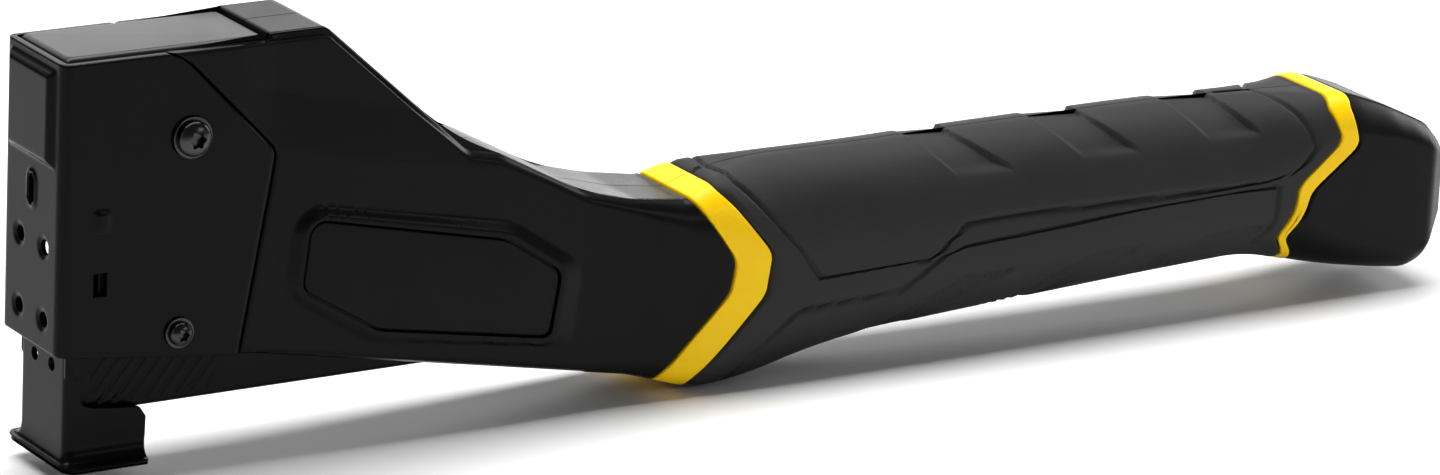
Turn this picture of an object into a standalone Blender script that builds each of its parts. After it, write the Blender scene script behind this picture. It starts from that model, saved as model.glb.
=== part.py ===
"""Hammer tacker with a rear-loading, sprung magazine, built as separate solids in metres.

X runs from the striking head to the butt, Y from the left side to the right, Z up. Places are
counted from the head's front face and from the foot's sole, and the root empty then moves the
origin to the middle of the nose block's sole.
"""

import math

import bmesh
import bpy
from mathutils import Matrix, Vector

MM = 0.001
GAP = 0.3 * MM
MERGE = 0.002 * MM
OVERSHOOT = 20 * MM

# Staples and magazine, from the inside outwards
STAPLE_CROWN = 10.6 * MM
STAPLE_GAP = 0.3 * MM
RAIL_SLOT = 6.0 * MM
RAIL_WALL = 1.0 * MM
RAIL_HEIGHT = 6.8 * MM
CHANNEL_WALL = 1.0 * MM
CHANNEL_HEIGHT = 9.4 * MM
SHEATH_WALL = 1.2 * MM
SHEATH_HEIGHT = 15.0 * MM
SHEATH_LENGTH = 92.0 * MM
LID_THICKNESS = 1.0 * MM
SWING_GAP = 1.5 * MM
SHEATH_SOLE_Z = 11.4 * MM
X_MAGAZINE = 7.6 * MM

# Nose
NOSE_X = 3.4 * MM
NOSE_SHEET = 1.2 * MM
NOSE_BLOCK_LENGTH = 14.4 * MM
NOSE_TOP_Z = 29.5 * MM
TAB_LENGTH = 19.0 * MM
TAB_TOP_Z = 13.2 * MM
WING_LENGTH = 3.4 * MM
LIP_WIDTH = 4.1 * MM
LIP_FORWARD = 1.5 * MM
LIP_THICKNESS = 1.5 * MM

# Head
CHEEK_WALL = 1.9 * MM
SHELL_SHEET = 1.5 * MM
HEAD_BASE_Z = 26.3 * MM
HEAD_TOP_Z = 89.9 * MM
COVER_GAP = 0.9 * MM
COVER_LENGTH = 46.7 * MM
COVER_X = 1.9 * MM
COVER_THICKNESS = 4.0 * MM
COVER_TOP_Z = 90.6 * MM
BLOCK_BASE_Z = 54.0 * MM
BLADE_TIP_Z = 22.5 * MM
BLADE_TIP_X = 6.1 * MM
BLADE_THICKNESS = 1.2 * MM
BLADE_SHOULDER = 2.8 * MM
BLADE_TILT = math.radians(3.7)
DRIVER_SCREW_Z = (64.0 * MM, 77.5 * MM)
HEAD_SCREW = (30.2 * MM, 71.3 * MM)
LOWER_SCREW = (28.3 * MM, 28.6 * MM)
SPRING_X = 35.0 * MM
SPRING_POCKET_TOP_Z = 66.3 * MM
SPRING_RADIUS = 4.6 * MM
SPRING_WIRE = 1.4 * MM
SPRING_TURNS = 8

# Housing and handle
HOUSING_WALL = 2.0 * MM
GRIP_WALL = 1.8 * MM
CREST_LENGTH = 14.0 * MM
SLOPE_LENGTH = 35.4 * MM
HOUSING_LENGTH = 57.0 * MM
GRIP_LENGTH = 164.0 * MM
BUTT_LENGTH = 49.0 * MM
HOUSING_EDGE = 2.2 * MM
PAD_HEIGHT = 1.2 * MM
PAD_RIM = 2.2 * MM
PANEL_DEPTH = 1.6 * MM
PANEL_THICKNESS = 1.0 * MM

# Loading rod, pusher and hinge
ROD_RADIUS = 1.5 * MM
ROD_Z = 17.9 * MM
PIVOT_RADIUS = 2.5 * MM
PIVOT_WALL = 1.8 * MM
PUSHER_LENGTH = 12.0 * MM
PUSHER_SPRING_RADIUS = 2.2 * MM
PUSHER_SPRING_WIRE = 0.6 * MM
PUSHER_SPRING_TURNS = 12
PLUG_LENGTH = 17.0 * MM
SPIGOT_LENGTH = 10.0 * MM
NUT_LENGTH = 3.0 * MM
NUT_RADIUS = 3.4 * MM

# Half-widths that follow from the staples and the walls
RAIL_HALF = RAIL_SLOT / 2 + RAIL_WALL
CHANNEL_INNER = STAPLE_CROWN / 2 + STAPLE_GAP
CHANNEL_HALF = CHANNEL_INNER + CHANNEL_WALL
SHEATH_INNER = CHANNEL_HALF + GAP
SHEATH_HALF = SHEATH_INNER + SHEATH_WALL
CAVITY_HALF = SHEATH_HALF + SWING_GAP
CHEEK_HALF = CAVITY_HALF + CHEEK_WALL
SHELL_INNER = CHEEK_HALF + GAP
HEAD_HALF = SHELL_INNER + SHELL_SHEET
NOSE_HALF = SHELL_INNER - 1.1 * MM
COVER_HALF = SHELL_INNER - COVER_GAP
BLOCK_HALF = CAVITY_HALF - GAP

# Heights that follow
CHANNEL_BASE_Z = SHEATH_SOLE_Z + SHEATH_WALL + GAP
CHANNEL_TOP_Z = CHANNEL_BASE_Z + CHANNEL_HEIGHT
LID_TOP_Z = CHANNEL_TOP_Z + GAP + LID_THICKNESS
RAIL_BASE_Z = CHANNEL_BASE_Z + CHANNEL_WALL + GAP
RAIL_TOP_Z = RAIL_BASE_Z + RAIL_HEIGHT
COVER_BASE_Z = COVER_TOP_Z - COVER_THICKNESS
CAVITY_TOP_Z = COVER_BASE_Z - GAP - HOUSING_WALL
BLOCK_TOP_Z = CAVITY_TOP_Z - GAP
SKIN_INSET = GRIP_WALL + GAP
PIVOT_Z = CHANNEL_BASE_Z + CHANNEL_HEIGHT / 2
PLUG_BASE_Z = SHEATH_SOLE_Z
PLUG_TOP_Z = LID_TOP_Z + 0.6 * MM

# Places along the tool that follow
X_COVER_END = COVER_X + COVER_LENGTH
X_CREST_END = X_COVER_END + CREST_LENGTH
X_SLOPE_END = X_CREST_END + SLOPE_LENGTH
X_BAND = X_SLOPE_END + HOUSING_LENGTH
X_GRIP = X_BAND + 7.0 * MM
X_REAR_BAND = X_GRIP + GRIP_LENGTH
X_END = X_REAR_BAND + BUTT_LENGTH - 10.0 * MM
X_PIVOT = X_END - 35.0 * MM
X_CORE_END = X_END - 19.0 * MM
X_PLUG = X_END - 0.5 * MM - PLUG_LENGTH
X_CHANNEL_END = X_PLUG - 2.0 * MM
X_RAIL_END = X_CHANNEL_END - SPIGOT_LENGTH + 1.0 * MM
X_SPIGOT = X_RAIL_END + 2 * GAP
X_ORIGIN = X_MAGAZINE + NOSE_BLOCK_LENGTH / 2


# Screws that join the housing's halves: name, x and z
HOUSING_SCREWS = (
    ("housing_screw_front", X_CREST_END + 2.0 * MM, 78.0 * MM),
    ("housing_screw_middle", X_SLOPE_END - 6.0 * MM, 53.0 * MM),
    ("grip_screw_front", X_GRIP + 13.0 * MM, 6.6 * MM),
    ("grip_screw_rear", X_REAR_BAND - 40.0 * MM, 32.6 * MM),
)
BOSS_RADIUS = 3.2 * MM
SCREW_RADIUS = 1.3 * MM
SCREW_HEAD_RADIUS = 2.4 * MM
SCREW_HEAD = 2.2 * MM
SCREW_GRIP = 1.6

ARC_STEPS = 4


# ---------------------------------------------------------------- scene and helpers

def clear_scene():
    for obj in list(bpy.data.objects):
        bpy.data.objects.remove(obj, do_unlink=True)


def make_collection(name):
    collection = bpy.data.collections.new(name)
    bpy.context.scene.collection.children.link(collection)
    return collection


def make_material(name, colour, roughness, metallic):
    material = bpy.data.materials.new(name)
    material.use_nodes = True
    shader = material.node_tree.nodes["Principled BSDF"]
    shader.inputs["Base Color"].default_value = (*colour, 1.0)
    shader.inputs["Roughness"].default_value = roughness
    shader.inputs["Metallic"].default_value = metallic
    material.diffuse_color = (*colour, 1.0)
    return material


def add_object(name, data, material=None):
    """Link data as a part when it has a material, and as a cutter when it has none."""
    obj = bpy.data.objects.new(name, data)
    if material is None:
        CUTTERS.objects.link(obj)
        obj.hide_render = True
        obj.display_type = "WIRE"
    else:
        PARTS.objects.link(obj)
        data.materials.clear()
        data.materials.append(material)
    obj.parent = ROOT
    return obj


def finish_mesh(bm, name, material):
    bmesh.ops.recalc_face_normals(bm, faces=bm.faces)
    mesh = bpy.data.meshes.new(name)
    bm.to_mesh(mesh)
    bm.free()
    return add_object(name, mesh, material)


def box(name, x, y, z, material=None):
    """A block between the two values that each of x, y and z gives."""
    bm = bmesh.new()
    size = Vector((x[1] - x[0], y[1] - y[0], z[1] - z[0]))
    middle = Vector((sum(x), sum(y), sum(z))) / 2
    matrix = Matrix.Translation(middle) @ Matrix.Diagonal((*size, 1.0))
    bmesh.ops.create_cube(bm, size=1.0, matrix=matrix)
    return finish_mesh(bm, name, material)


def rod(name, radius, start, end, segments=20, material=None):
    """A round bar from start to end."""
    start = Vector(start)
    end = Vector(end)
    way = end - start
    turn = Vector((0, 0, 1)).rotation_difference(way).to_matrix().to_4x4()
    bm = bmesh.new()
    bmesh.ops.create_cone(
        bm, cap_ends=True, segments=segments, radius1=radius, radius2=radius,
        depth=way.length, matrix=Matrix.Translation((start + end) / 2) @ turn,
    )
    return finish_mesh(bm, name, material)


def baked(obj, name, material=None):
    """A new mesh object of what obj looks like with its modifiers, in place of obj."""
    bpy.context.view_layer.update()
    graph = bpy.context.evaluated_depsgraph_get()
    mesh = bpy.data.meshes.new_from_object(obj.evaluated_get(graph))
    mesh.transform(obj.matrix_world)
    bm = bmesh.new()
    bm.from_mesh(mesh)
    bmesh.ops.remove_doubles(bm, verts=bm.verts, dist=MERGE)
    bmesh.ops.dissolve_degenerate(bm, edges=bm.edges, dist=MERGE)
    bmesh.ops.recalc_face_normals(bm, faces=bm.faces)
    bm.to_mesh(mesh)
    bm.free()
    mesh.name = name
    bpy.data.objects.remove(obj, do_unlink=True)
    return add_object(name, mesh, material)


def plate(name, outline, low, high, plane="XZ", material=None):
    """A closed outline given in plane, made solid from low to high across that plane."""
    curve = bpy.data.curves.new(name, "CURVE")
    curve.dimensions = "2D"
    curve.fill_mode = "BOTH"
    curve.extrude = (high - low) / 2
    spline = curve.splines.new("POLY")
    spline.points.add(len(outline) - 1)
    for point, (a, b) in zip(spline.points, outline):
        point.co = (a, b, 0.0, 1.0)
    spline.use_cyclic_u = True
    obj = bpy.data.objects.new(name, curve)
    CUTTERS.objects.link(obj)
    middle = (low + high) / 2
    if plane == "XZ":
        obj.rotation_euler = (math.pi / 2, 0, 0)
        obj.location = (0, middle, 0)
    elif plane == "YZ":
        obj.rotation_euler = (math.pi / 2, 0, math.pi / 2)
        obj.location = (middle, 0, 0)
    else:
        obj.location = (0, 0, middle)
    return baked(obj, name, material)


def turned(name, profile, place, axis, material):
    """A profile of (radius, height) pairs turned about its height axis, which points along axis."""
    mesh = bpy.data.meshes.new(name)
    points = [(radius, 0, height) for radius, height in profile]
    mesh.from_pydata(points, [(i, i + 1) for i in range(len(points) - 1)], [])
    obj = add_object(name, mesh, material)
    screw = obj.modifiers.new("Turn", "SCREW")
    screw.steps = 12
    screw.render_steps = 12
    screw.use_merge_vertices = True
    screw.merge_threshold = 0.00001
    obj.location = place
    obj.rotation_mode = "QUATERNION"
    obj.rotation_quaternion = Vector((0, 0, 1)).rotation_difference(Vector(axis))
    return obj


def section(half_width, bottom, top, corner_y, corner_z):
    """A rounded rectangle in Y and Z whose corners are quarter ellipses."""
    points = []
    for quarter, (side, rise) in enumerate(((1, 1), (-1, 1), (-1, -1), (1, -1))):
        centre_y = side * (half_width - corner_y)
        centre_z = top - corner_z if rise > 0 else bottom + corner_z
        for step in range(ARC_STEPS + 1):
            angle = (quarter + step / ARC_STEPS) * math.pi / 2
            y = centre_y + corner_y * math.cos(angle)
            points.append((y, centre_z + corner_z * math.sin(angle)))
    return points


def loft(name, stations, material=None):
    """A closed skin through stations of (x, half width, bottom, top, corner y, corner z)."""
    bm = bmesh.new()
    rings = []
    for x, *shape in stations:
        rings.append([bm.verts.new((x, y, z)) for y, z in section(*shape)])
    for ring, following in zip(rings, rings[1:]):
        for i, vert in enumerate(ring):
            after = (i + 1) % len(ring)
            bm.faces.new((vert, following[i], following[after], ring[after]))
    bm.faces.new(rings[0])
    bm.faces.new(reversed(rings[-1]))
    return finish_mesh(bm, name, material)


def boolean(target, cutter, operation="DIFFERENCE"):
    modifier = target.modifiers.new(cutter.name, "BOOLEAN")
    modifier.operation = operation
    modifier.object = cutter
    modifier.solver = "EXACT"


def coil(name, radius, wire, turns, start, end, points_per_turn, material):
    """A round-wire spring from start to end."""
    start = Vector(start)
    end = Vector(end)
    axis = (end - start).normalized()
    side = axis.orthogonal().normalized()
    across = axis.cross(side)
    curve = bpy.data.curves.new(name, "CURVE")
    curve.dimensions = "3D"
    curve.bevel_depth = wire / 2
    curve.bevel_resolution = 2
    curve.use_fill_caps = True
    spline = curve.splines.new("POLY")
    count = turns * points_per_turn
    spline.points.add(count)
    for i, point in enumerate(spline.points):
        angle = 2 * math.pi * i / points_per_turn
        around = side * math.cos(angle) + across * math.sin(angle)
        place = start.lerp(end, i / count) + around * radius
        point.co = (*place, 1.0)
    return add_object(name, curve, material)


def mirrored(outline):
    """An outline of one side's (y, z) points, closed with the same points at -y."""
    return list(outline) + [(-y, z) for y, z in reversed(outline)]


def along(x, points):
    """Points (mm ahead or behind, mm up) counted from the place x."""
    return [(x + a * MM, b * MM) for a, b in points]


# ---------------------------------------------------------------- outlines and stations

def base_z(x):
    """Height of the housing's lower edge, which falls from the head to the belly."""
    head = HEAD_BASE_Z - 0.12 * x
    if x <= X_COVER_END:
        return head
    return HEAD_BASE_Z - 0.12 * X_COVER_END - 0.188 * (x - X_COVER_END)


def skin_stations():
    """The outside of the whole tool behind the nose, without the steel shell."""
    head = HEAD_HALF
    top = COVER_TOP_Z + 0.7 * MM
    chamfer = (HOUSING_EDGE, HOUSING_EDGE)
    x0 = X_SLOPE_END
    stations = [
        (X_MAGAZINE + 2.4 * MM, head, base_z(X_MAGAZINE), top, *chamfer),
        (X_COVER_END, head, base_z(X_COVER_END), top, *chamfer),
        (X_CREST_END, head, base_z(X_CREST_END), top, *chamfer),
        (x0, head, base_z(x0), 60.0 * MM, *chamfer),
        (x0 + 8 * MM, head, base_z(x0 + 8 * MM), 58.3 * MM, *chamfer),
        (x0 + 30 * MM, head, base_z(x0 + 30 * MM), 46.8 * MM, *chamfer),
        (x0 + 43 * MM, head + 0.4 * MM, base_z(x0 + 43 * MM), 44.2 * MM, 2.6 * MM, 3.4 * MM),
    ]
    handle = [  # from the band: x, half width, bottom, top, corner y, corner z
        (0, 1.4, -1.6, 43.6, 5.0, 7.0),
        (8, 2.2, -3.3, 44.6, 8.0, 12.0),
        (21, 3.0, -3.0, 46.6, 12.0, 19.0),
        (34, 3.1, 0.2, 46.6, 12.5, 19.0),
        (50, 3.2, 2.8, 46.4, 12.5, 18.0),
        (75, 3.2, 4.2, 46.8, 12.5, 18.0),
    ]
    for x, width, bottom, high, corner_y, corner_z in handle:
        shape = (head + width * MM, bottom * MM, high * MM, corner_y * MM, corner_z * MM)
        stations.append((X_BAND + x * MM, *shape))
    rear = [  # from the rear band
        (-45, 3.1, 6.6, 47.0, 12.5, 17.5),
        (-15, 2.8, 7.8, 46.4, 12.0, 16.0),
        (7, 2.6, 3.0, 45.8, 8.0, 8.0),
        (20, 2.6, 1.2, 41.4, 6.0, 6.0),
    ]
    for x, width, bottom, high, corner_y, corner_z in rear:
        shape = (head + width * MM, bottom * MM, high * MM, corner_y * MM, corner_z * MM)
        stations.append((X_REAR_BAND + x * MM, *shape))
    end = [  # from the end of the butt
        (-10, 2.6, 0.3, 37.2, 5.0, 5.0),
        (-6, 2.5, 1.6, 35.2, 5.0, 5.0),
        (0, -2.0, 10.3, 30.3, 4.0, 4.0),
    ]
    for x, width, bottom, high, corner_y, corner_z in end:
        shape = (head + width * MM, bottom * MM, high * MM, corner_y * MM, corner_z * MM)
        stations.append((X_END + x * MM, *shape))
    return stations


def station_at(stations, x):
    """The station at the place x, between the given ones."""
    for before, after in zip(stations, stations[1:]):
        if before[0] <= x <= after[0]:
            share = (x - before[0]) / (after[0] - before[0])
            return [a + (b - a) * share for a, b in zip(before, after)]
    return list(stations[-1])


def inset(stations, wall, first, last):
    """Stations between the places first and last, drawn in by wall, with flat ends there."""
    inner = [list(s) for s in stations if first < s[0] < last]
    chosen = [station_at(stations, first)] + inner + [station_at(stations, last)]
    result = []
    for x, half, bottom, top, corner_y, corner_z in chosen:
        corner_y = max(corner_y - wall, 0.8 * MM)
        corner_z = max(corner_z - wall, 0.8 * MM)
        result.append((x, half - wall, bottom + wall, top - wall, corner_y, corner_z))
    return result


def front_band_front():
    return along(X_BAND, [(0, 70), (0, 43), (11.1, 27.1), (9.8, 19.9), (-6.7, 2.2), (-9.5, -25)])


def front_band_rear():
    return along(
        X_BAND,
        [(6.6, 70), (6.6, 44), (10.7, 39.5), (19.9, 28), (18.6, 18.7), (1.1, -0.4), (-2.0, -25)],
    )


def rear_band_front():
    return along(
        X_REAR_BAND,
        [(2.8, 70), (2.8, 46.5), (4.2, 39.6), (5.7, 35.3), (-6, 26), (-6.4, 21), (-10.5, 13.2),
         (-8.5, 10.5), (-6, 7), (-4, -25)],
    )


def rear_band_rear():
    return along(
        X_REAR_BAND,
        [(8, 70), (8, 46.5), (9.1, 39), (10.6, 33.9), (-2.4, 24.2), (-4.1, 19), (-8.6, 12.9),
         (-6.5, 10.3), (-4, 7), (-2, -25)],
    )


def shifted(line, distance):
    return [(x + distance, z) for x, z in line]


def between(front, rear):
    """The closed outline between two lines that both run downwards."""
    return front + rear[::-1]


def shell_outline(grow=0.0):
    """The steel shell's side, with its rear edges moved back by grow."""
    slope = [(24.3, 89.9), (28.4, 88.4), (50.5, 66), (49.8, 60.8), (42.8, 21.3)]
    rear = [(x * MM + grow, z * MM) for x, z in slope]
    front = [(-grow, HEAD_BASE_Z - grow), (-grow, HEAD_TOP_Z + grow)]
    rear[0] = (rear[0][0], rear[0][1] + grow)
    rear[-1] = (rear[-1][0], rear[-1][1] - grow)
    return front + rear


def panel_outline(shrink=0.0):
    corners = [(-5.6, 34), (-4.1, 47.4), (-1.3, 49.6), (45.3, 39.5), (59.1, 30.4), (56.7, 15.2),
               (13.3, 22.7)]
    points = along(X_CREST_END, corners)
    middle_x = sum(x for x, _ in points) / len(points)
    middle_z = sum(z for _, z in points) / len(points)
    reach_x = max(abs(x - middle_x) for x, _ in points)
    reach_z = max(abs(z - middle_z) for _, z in points)
    fx = 1 - shrink / reach_x
    fz = 1 - shrink / reach_z
    return [(middle_x + (x - middle_x) * fx, middle_z + (z - middle_z) * fz) for x, z in points]


# ---------------------------------------------------------------- housing, bands, grips, butt

def housing_solid():
    """Both halves' outside and cavity as one closed solid."""
    stations = skin_stations()
    body = loft("housing_body", stations)
    front = between([(-OVERSHOOT, 150 * MM), (-OVERSHOOT, -50 * MM)], shifted(front_band_front(), -GAP))
    boolean(body, plate("housing_front_zone", front, -40 * MM, 40 * MM), "INTERSECT")
    core = loft("housing_core", inset(stations, SKIN_INSET, X_SLOPE_END + 20 * MM, X_CORE_END))
    boolean(body, core, "UNION")
    boolean(body, housing_cavity(stations))
    mouth = box(
        "magazine_mouth", (0, X_SLOPE_END + 6 * MM),
        (-CAVITY_HALF, CAVITY_HALF), (-OVERSHOOT, LID_TOP_Z + 6 * MM),
    )
    boolean(body, mouth)
    rise = 38.0 * MM
    tab_room = box(
        "tab_room", (0, NOSE_X + TAB_LENGTH + 2.6 * MM), (-40 * MM, 40 * MM), (-OVERSHOOT, rise),
    )
    boolean(body, tab_room)
    cover = box(
        "cover_seat", (0, X_COVER_END + GAP),
        (-COVER_HALF - GAP, COVER_HALF + GAP), (COVER_BASE_Z - GAP, HEAD_TOP_Z + OVERSHOOT),
    )
    boolean(body, cover)
    for side in (-1, 1):
        low, high = sorted((side * CHEEK_HALF, side * 40 * MM))
        boolean(body, plate("shell_seat", shell_outline(GAP), low, high))
        low, high = sorted((side * (HEAD_HALF - MM), side * (HEAD_HALF + PAD_HEIGHT)))
        boolean(body, plate("panel_pad", panel_outline(-PAD_RIM), low, high), "UNION")
        low, high = sorted((side * (HEAD_HALF + PAD_HEIGHT - PANEL_DEPTH), side * 40 * MM))
        boolean(body, plate("panel_seat", panel_outline(), low, high))
    rim = plate("shell_rim_seat", shell_outline(GAP), -40 * MM, 40 * MM)
    above = (COVER_BASE_Z - GAP, HEAD_TOP_Z + OVERSHOOT)
    boolean(rim, box("rim_height", (-40 * MM, 90 * MM), (-50 * MM, 50 * MM), above), "INTERSECT")
    boolean(body, rim)
    return baked(body, "housing_solid")


def housing_cavity(stations):
    """The room inside the housing, narrow in the head and wall-thick in the handle."""
    rows = []
    wall = HOUSING_WALL + SKIN_INSET
    low = base_z(X_SLOPE_END + 7 * MM) + HOUSING_WALL
    rows.append((0, CAVITY_HALF, low, CAVITY_TOP_Z, MM, MM))
    rows.append((X_CREST_END - 3 * MM, CAVITY_HALF, low, CAVITY_TOP_Z, MM, MM))
    rows.append((X_SLOPE_END - 3.5 * MM, CAVITY_HALF, low, 57.0 * MM, MM, MM))
    rows.append((X_SLOPE_END + 7 * MM, CAVITY_HALF, low, 55.4 * MM, MM, MM))
    x = X_SLOPE_END + 29 * MM
    rows.append((x, CAVITY_HALF, base_z(x) + HOUSING_WALL, 43.0 * MM, MM, MM))
    x = X_SLOPE_END + 43 * MM
    rows.append((x, CAVITY_HALF, base_z(x) + wall, 40.6 * MM, 2 * MM, 2 * MM))
    floor = CHANNEL_BASE_Z - SWING_GAP
    for x, half, bottom, *rest in inset(stations, wall, X_BAND, X_CORE_END + OVERSHOOT):
        rows.append((x, half, min(bottom, floor), *rest))
    rows[-1] = (X_CORE_END + OVERSHOOT, *rows[-2][1:])
    return loft("housing_cavity", rows)


def half_at(x, z, wall):
    """Half the width at the height z of the skin drawn in by wall at the place x."""
    _, half, bottom, top, corner_y, corner_z = inset(skin_stations(), wall, x, x + MM)[0]
    past = max(z - (top - corner_z), bottom + corner_z - z, 0.0) / corner_z
    return half - corner_y + corner_y * math.sqrt(max(1 - past * past, 0.0))


def pin_reach():
    """How far the hinge pins reach out, half-way into the housing's wall."""
    low = PIVOT_Z - PIVOT_RADIUS
    return half_at(X_PIVOT, low, SKIN_INSET + HOUSING_WALL / 2) - GAP


def screw_seat(x, z):
    """How far from the middle a housing screw's head sits, sunk below the surface round it."""
    wall = 0.0 if x < X_BAND else SKIN_INSET
    edge = min(half_at(x, z - SCREW_HEAD_RADIUS, wall), half_at(x, z + SCREW_HEAD_RADIUS, wall))
    return edge - SCREW_HEAD - 0.5 * MM


def post(name, radius, x, z, side, reach, limit):
    """A round post from inside the housing's wall to reach from the middle."""
    bar = rod(name, radius, (x, side * 60 * MM, z), (x, side * reach, z))
    boolean(bar, limit, "INTERSECT")
    return bar


def housing_half(name, solid, side, limit):
    """One half of the housing, with its screw bosses and its socket for the hinge pin."""
    half = add_object(name, solid.data.copy(), BLACK_PLASTIC)
    far = sorted((-side * 60 * MM, side * GAP / 2))
    boolean(half, box(name + "_other_side", (-40 * MM, 500 * MM), far, (-60 * MM, 150 * MM)))
    for screw, x, z in HOUSING_SCREWS:
        boolean(half, post(screw + "_boss", BOSS_RADIUS, x, z, side, GAP / 2, limit), "UNION")
    socket = PIVOT_RADIUS + GAP + PIVOT_WALL
    boolean(half, post(
        "pivot_socket", socket, X_PIVOT, PIVOT_Z, side, SHEATH_HALF + GAP, limit,
    ), "UNION")
    start = (X_PIVOT, side * (pin_reach() + GAP), PIVOT_Z)
    boolean(half, rod("pivot_bore", PIVOT_RADIUS + GAP, start, (X_PIVOT, 0, PIVOT_Z)))
    for screw, x, z in HOUSING_SCREWS:
        seat = screw_seat(x, z)
        tip = (SCREW_GRIP - 1) * seat + GAP
        boolean(half, rod(screw + "_hole", SCREW_RADIUS + GAP, (x, -tip, z), (x, seat + MM, z), 12))
        if side > 0:
            recess = SCREW_HEAD_RADIUS + GAP
            boolean(half, rod(
                screw + "_recess", recess, (x, seat - GAP, z), (x, seat + 12 * MM, z), 16,
            ))
    for x, z in (HEAD_SCREW, LOWER_SCREW):
        boolean(half, rod("shell_screw_hole", 2.3 * MM, (x, 0, z), (x, side * 40 * MM, z), 16))
    return baked(half, name, BLACK_PLASTIC)


def skin_ring(name, outline, inner, side, material):
    """The part of the outer skin on one side, outside inner, whose side view is outline."""
    ring = loft(name, skin_stations(), material)
    half = sorted((side * GAP / 2, side * 40 * MM))
    boolean(ring, plate(name + "_zone", outline, *half), "INTERSECT")
    boolean(ring, inner)
    return ring


def bands_and_grips():
    stations = skin_stations()
    inner = loft(
        "skin_inner", inset(stations, GRIP_WALL, X_SLOPE_END + 20 * MM, X_CORE_END + GAP),
    )
    front = between(front_band_front(), front_band_rear())
    grip = between(shifted(front_band_rear(), GAP), shifted(rear_band_front(), -GAP))
    rear = between(rear_band_front(), rear_band_rear())
    for side, word in ((-1, "left"), (1, "right")):
        skin_ring("front_band_" + word, front, inner, side, YELLOW)
        skin_ring(word + "_grip", grip, inner, side, RUBBER)
        skin_ring("rear_band_" + word, rear, inner, side, YELLOW)
    cap = loft("butt_cap", stations, BLACK_PLASTIC)
    zone = between(
        shifted(rear_band_rear(), GAP),
        [(X_END + OVERSHOOT, 70 * MM), (X_END + OVERSHOOT, -25 * MM)],
    )
    boolean(cap, plate("butt_zone", zone, -40 * MM, 40 * MM), "INTERSECT")
    boolean(cap, inner)
    mouth = box(
        "plug_mouth", (X_CORE_END - MM, X_END + OVERSHOOT),
        (-SHEATH_HALF - 0.9 * MM, SHEATH_HALF + 0.9 * MM), (PLUG_BASE_Z - 3.2 * MM, PLUG_TOP_Z + 0.9 * MM),
    )
    boolean(cap, mouth)


def side_panels():
    for side, word in ((-1, "left"), (1, "right")):
        near = HEAD_HALF + PAD_HEIGHT - PANEL_DEPTH + GAP
        ends = sorted((side * near, side * (near + PANEL_THICKNESS)))
        plate(word + "_side_panel", panel_outline(2 * GAP), *ends, material=PANEL_BLACK)


# ---------------------------------------------------------------- steel head

def head_shell():
    """One folded sheet: the front plate with its raised boss, and the two side plates."""
    shell = plate("head_shell", shell_outline(), -HEAD_HALF, HEAD_HALF, material=STEEL_BLACK)
    room = box(
        "shell_room", (SHELL_SHEET, 120 * MM), (-SHELL_INNER, SHELL_INNER),
        (-OVERSHOOT, HEAD_TOP_Z + OVERSHOOT),
    )
    boolean(shell, room)
    boss = box("shell_boss", (-1.5 * MM, 0.5 * MM), (-10.6 * MM, 10.6 * MM), (66.6 * MM, 88.4 * MM))
    corners = [edge for edge in boss.data.edges if all(
        boss.data.vertices[v].co.x < 0 for v in edge.vertices)]
    soften(boss, 1.3 * MM, corners)
    boolean(shell, boss, "UNION")
    for y in (-5.6 * MM, 5.6 * MM):
        for z in (32.8 * MM, 48.6 * MM):
            boolean(shell, rod("front_hole", 1.9 * MM, (-5 * MM, y, z), (5 * MM, y, z), 12))
    slot = box("front_slot", (-5 * MM, 5 * MM), (-1.6 * MM, 1.6 * MM), (56.8 * MM, 63.4 * MM))
    boolean(shell, slot)
    window = box("side_window", (7.9 * MM, 11.2 * MM), (-40 * MM, 40 * MM), (38.8 * MM, 44.0 * MM))
    boolean(shell, window)
    for (x, z), radius in ((HEAD_SCREW, 2.3 * MM), (LOWER_SCREW, 1.9 * MM)):
        boolean(shell, rod("screw_hole", radius, (x, -40 * MM, z), (x, 40 * MM, z), 16))


def soften(obj, width, edges):
    """Bevel the given edges of a box with a weighted Bevel modifier."""
    weights = obj.data.attributes.new("bevel_weight_edge", "FLOAT", "EDGE")
    for edge in edges:
        weights.data[edge.index].value = 1.0
    bevel = obj.modifiers.new("Round", "BEVEL")
    bevel.limit_method = "WEIGHT"
    bevel.width = width
    bevel.segments = 1


def top_cap():
    cap = box(
        "top_cap", (COVER_X, X_COVER_END), (-COVER_HALF, COVER_HALF),
        (COVER_BASE_Z, COVER_TOP_Z), STEEL_BLACK,
    )
    bevel = cap.modifiers.new("Edges", "BEVEL")
    bevel.width = 0.6 * MM
    bevel.segments = 2


def blade_x(z):
    """Where the leaning blade's middle is at the height z."""
    return BLADE_TIP_X + (z - BLADE_TIP_Z) * math.tan(BLADE_TILT)


def head_block():
    face = BLADE_THICKNESS / 2 / math.cos(BLADE_TILT) + GAP
    low = blade_x(BLOCK_BASE_Z) + face
    high = blade_x(BLOCK_TOP_Z) + face
    outline = [
        (low, BLOCK_BASE_Z), (high, BLOCK_TOP_Z),
        (X_COVER_END - 2.6 * MM, BLOCK_TOP_Z), (X_COVER_END - 2.6 * MM, BLOCK_BASE_Z),
    ]
    block = plate("head_block", outline, -BLOCK_HALF, BLOCK_HALF, material=ZINC)
    pocket = rod(
        "spring_pocket", SPRING_RADIUS + SPRING_WIRE / 2 + 0.5 * MM,
        (SPRING_X, 0, BLOCK_BASE_Z - 5 * MM), (SPRING_X, 0, SPRING_POCKET_TOP_Z),
    )
    boolean(block, pocket)
    x, z = HEAD_SCREW
    boolean(block, rod("through_hole", 2.3 * MM, (x, -40 * MM, z), (x, 40 * MM, z), 16))
    for z in DRIVER_SCREW_Z:
        start = (0, 0, z)
        end = (blade_x(z) + 10.6 * MM, 0, z)
        boolean(block, rod("driver_screw_hole", 1.8 * MM, start, end, 12))


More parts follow.
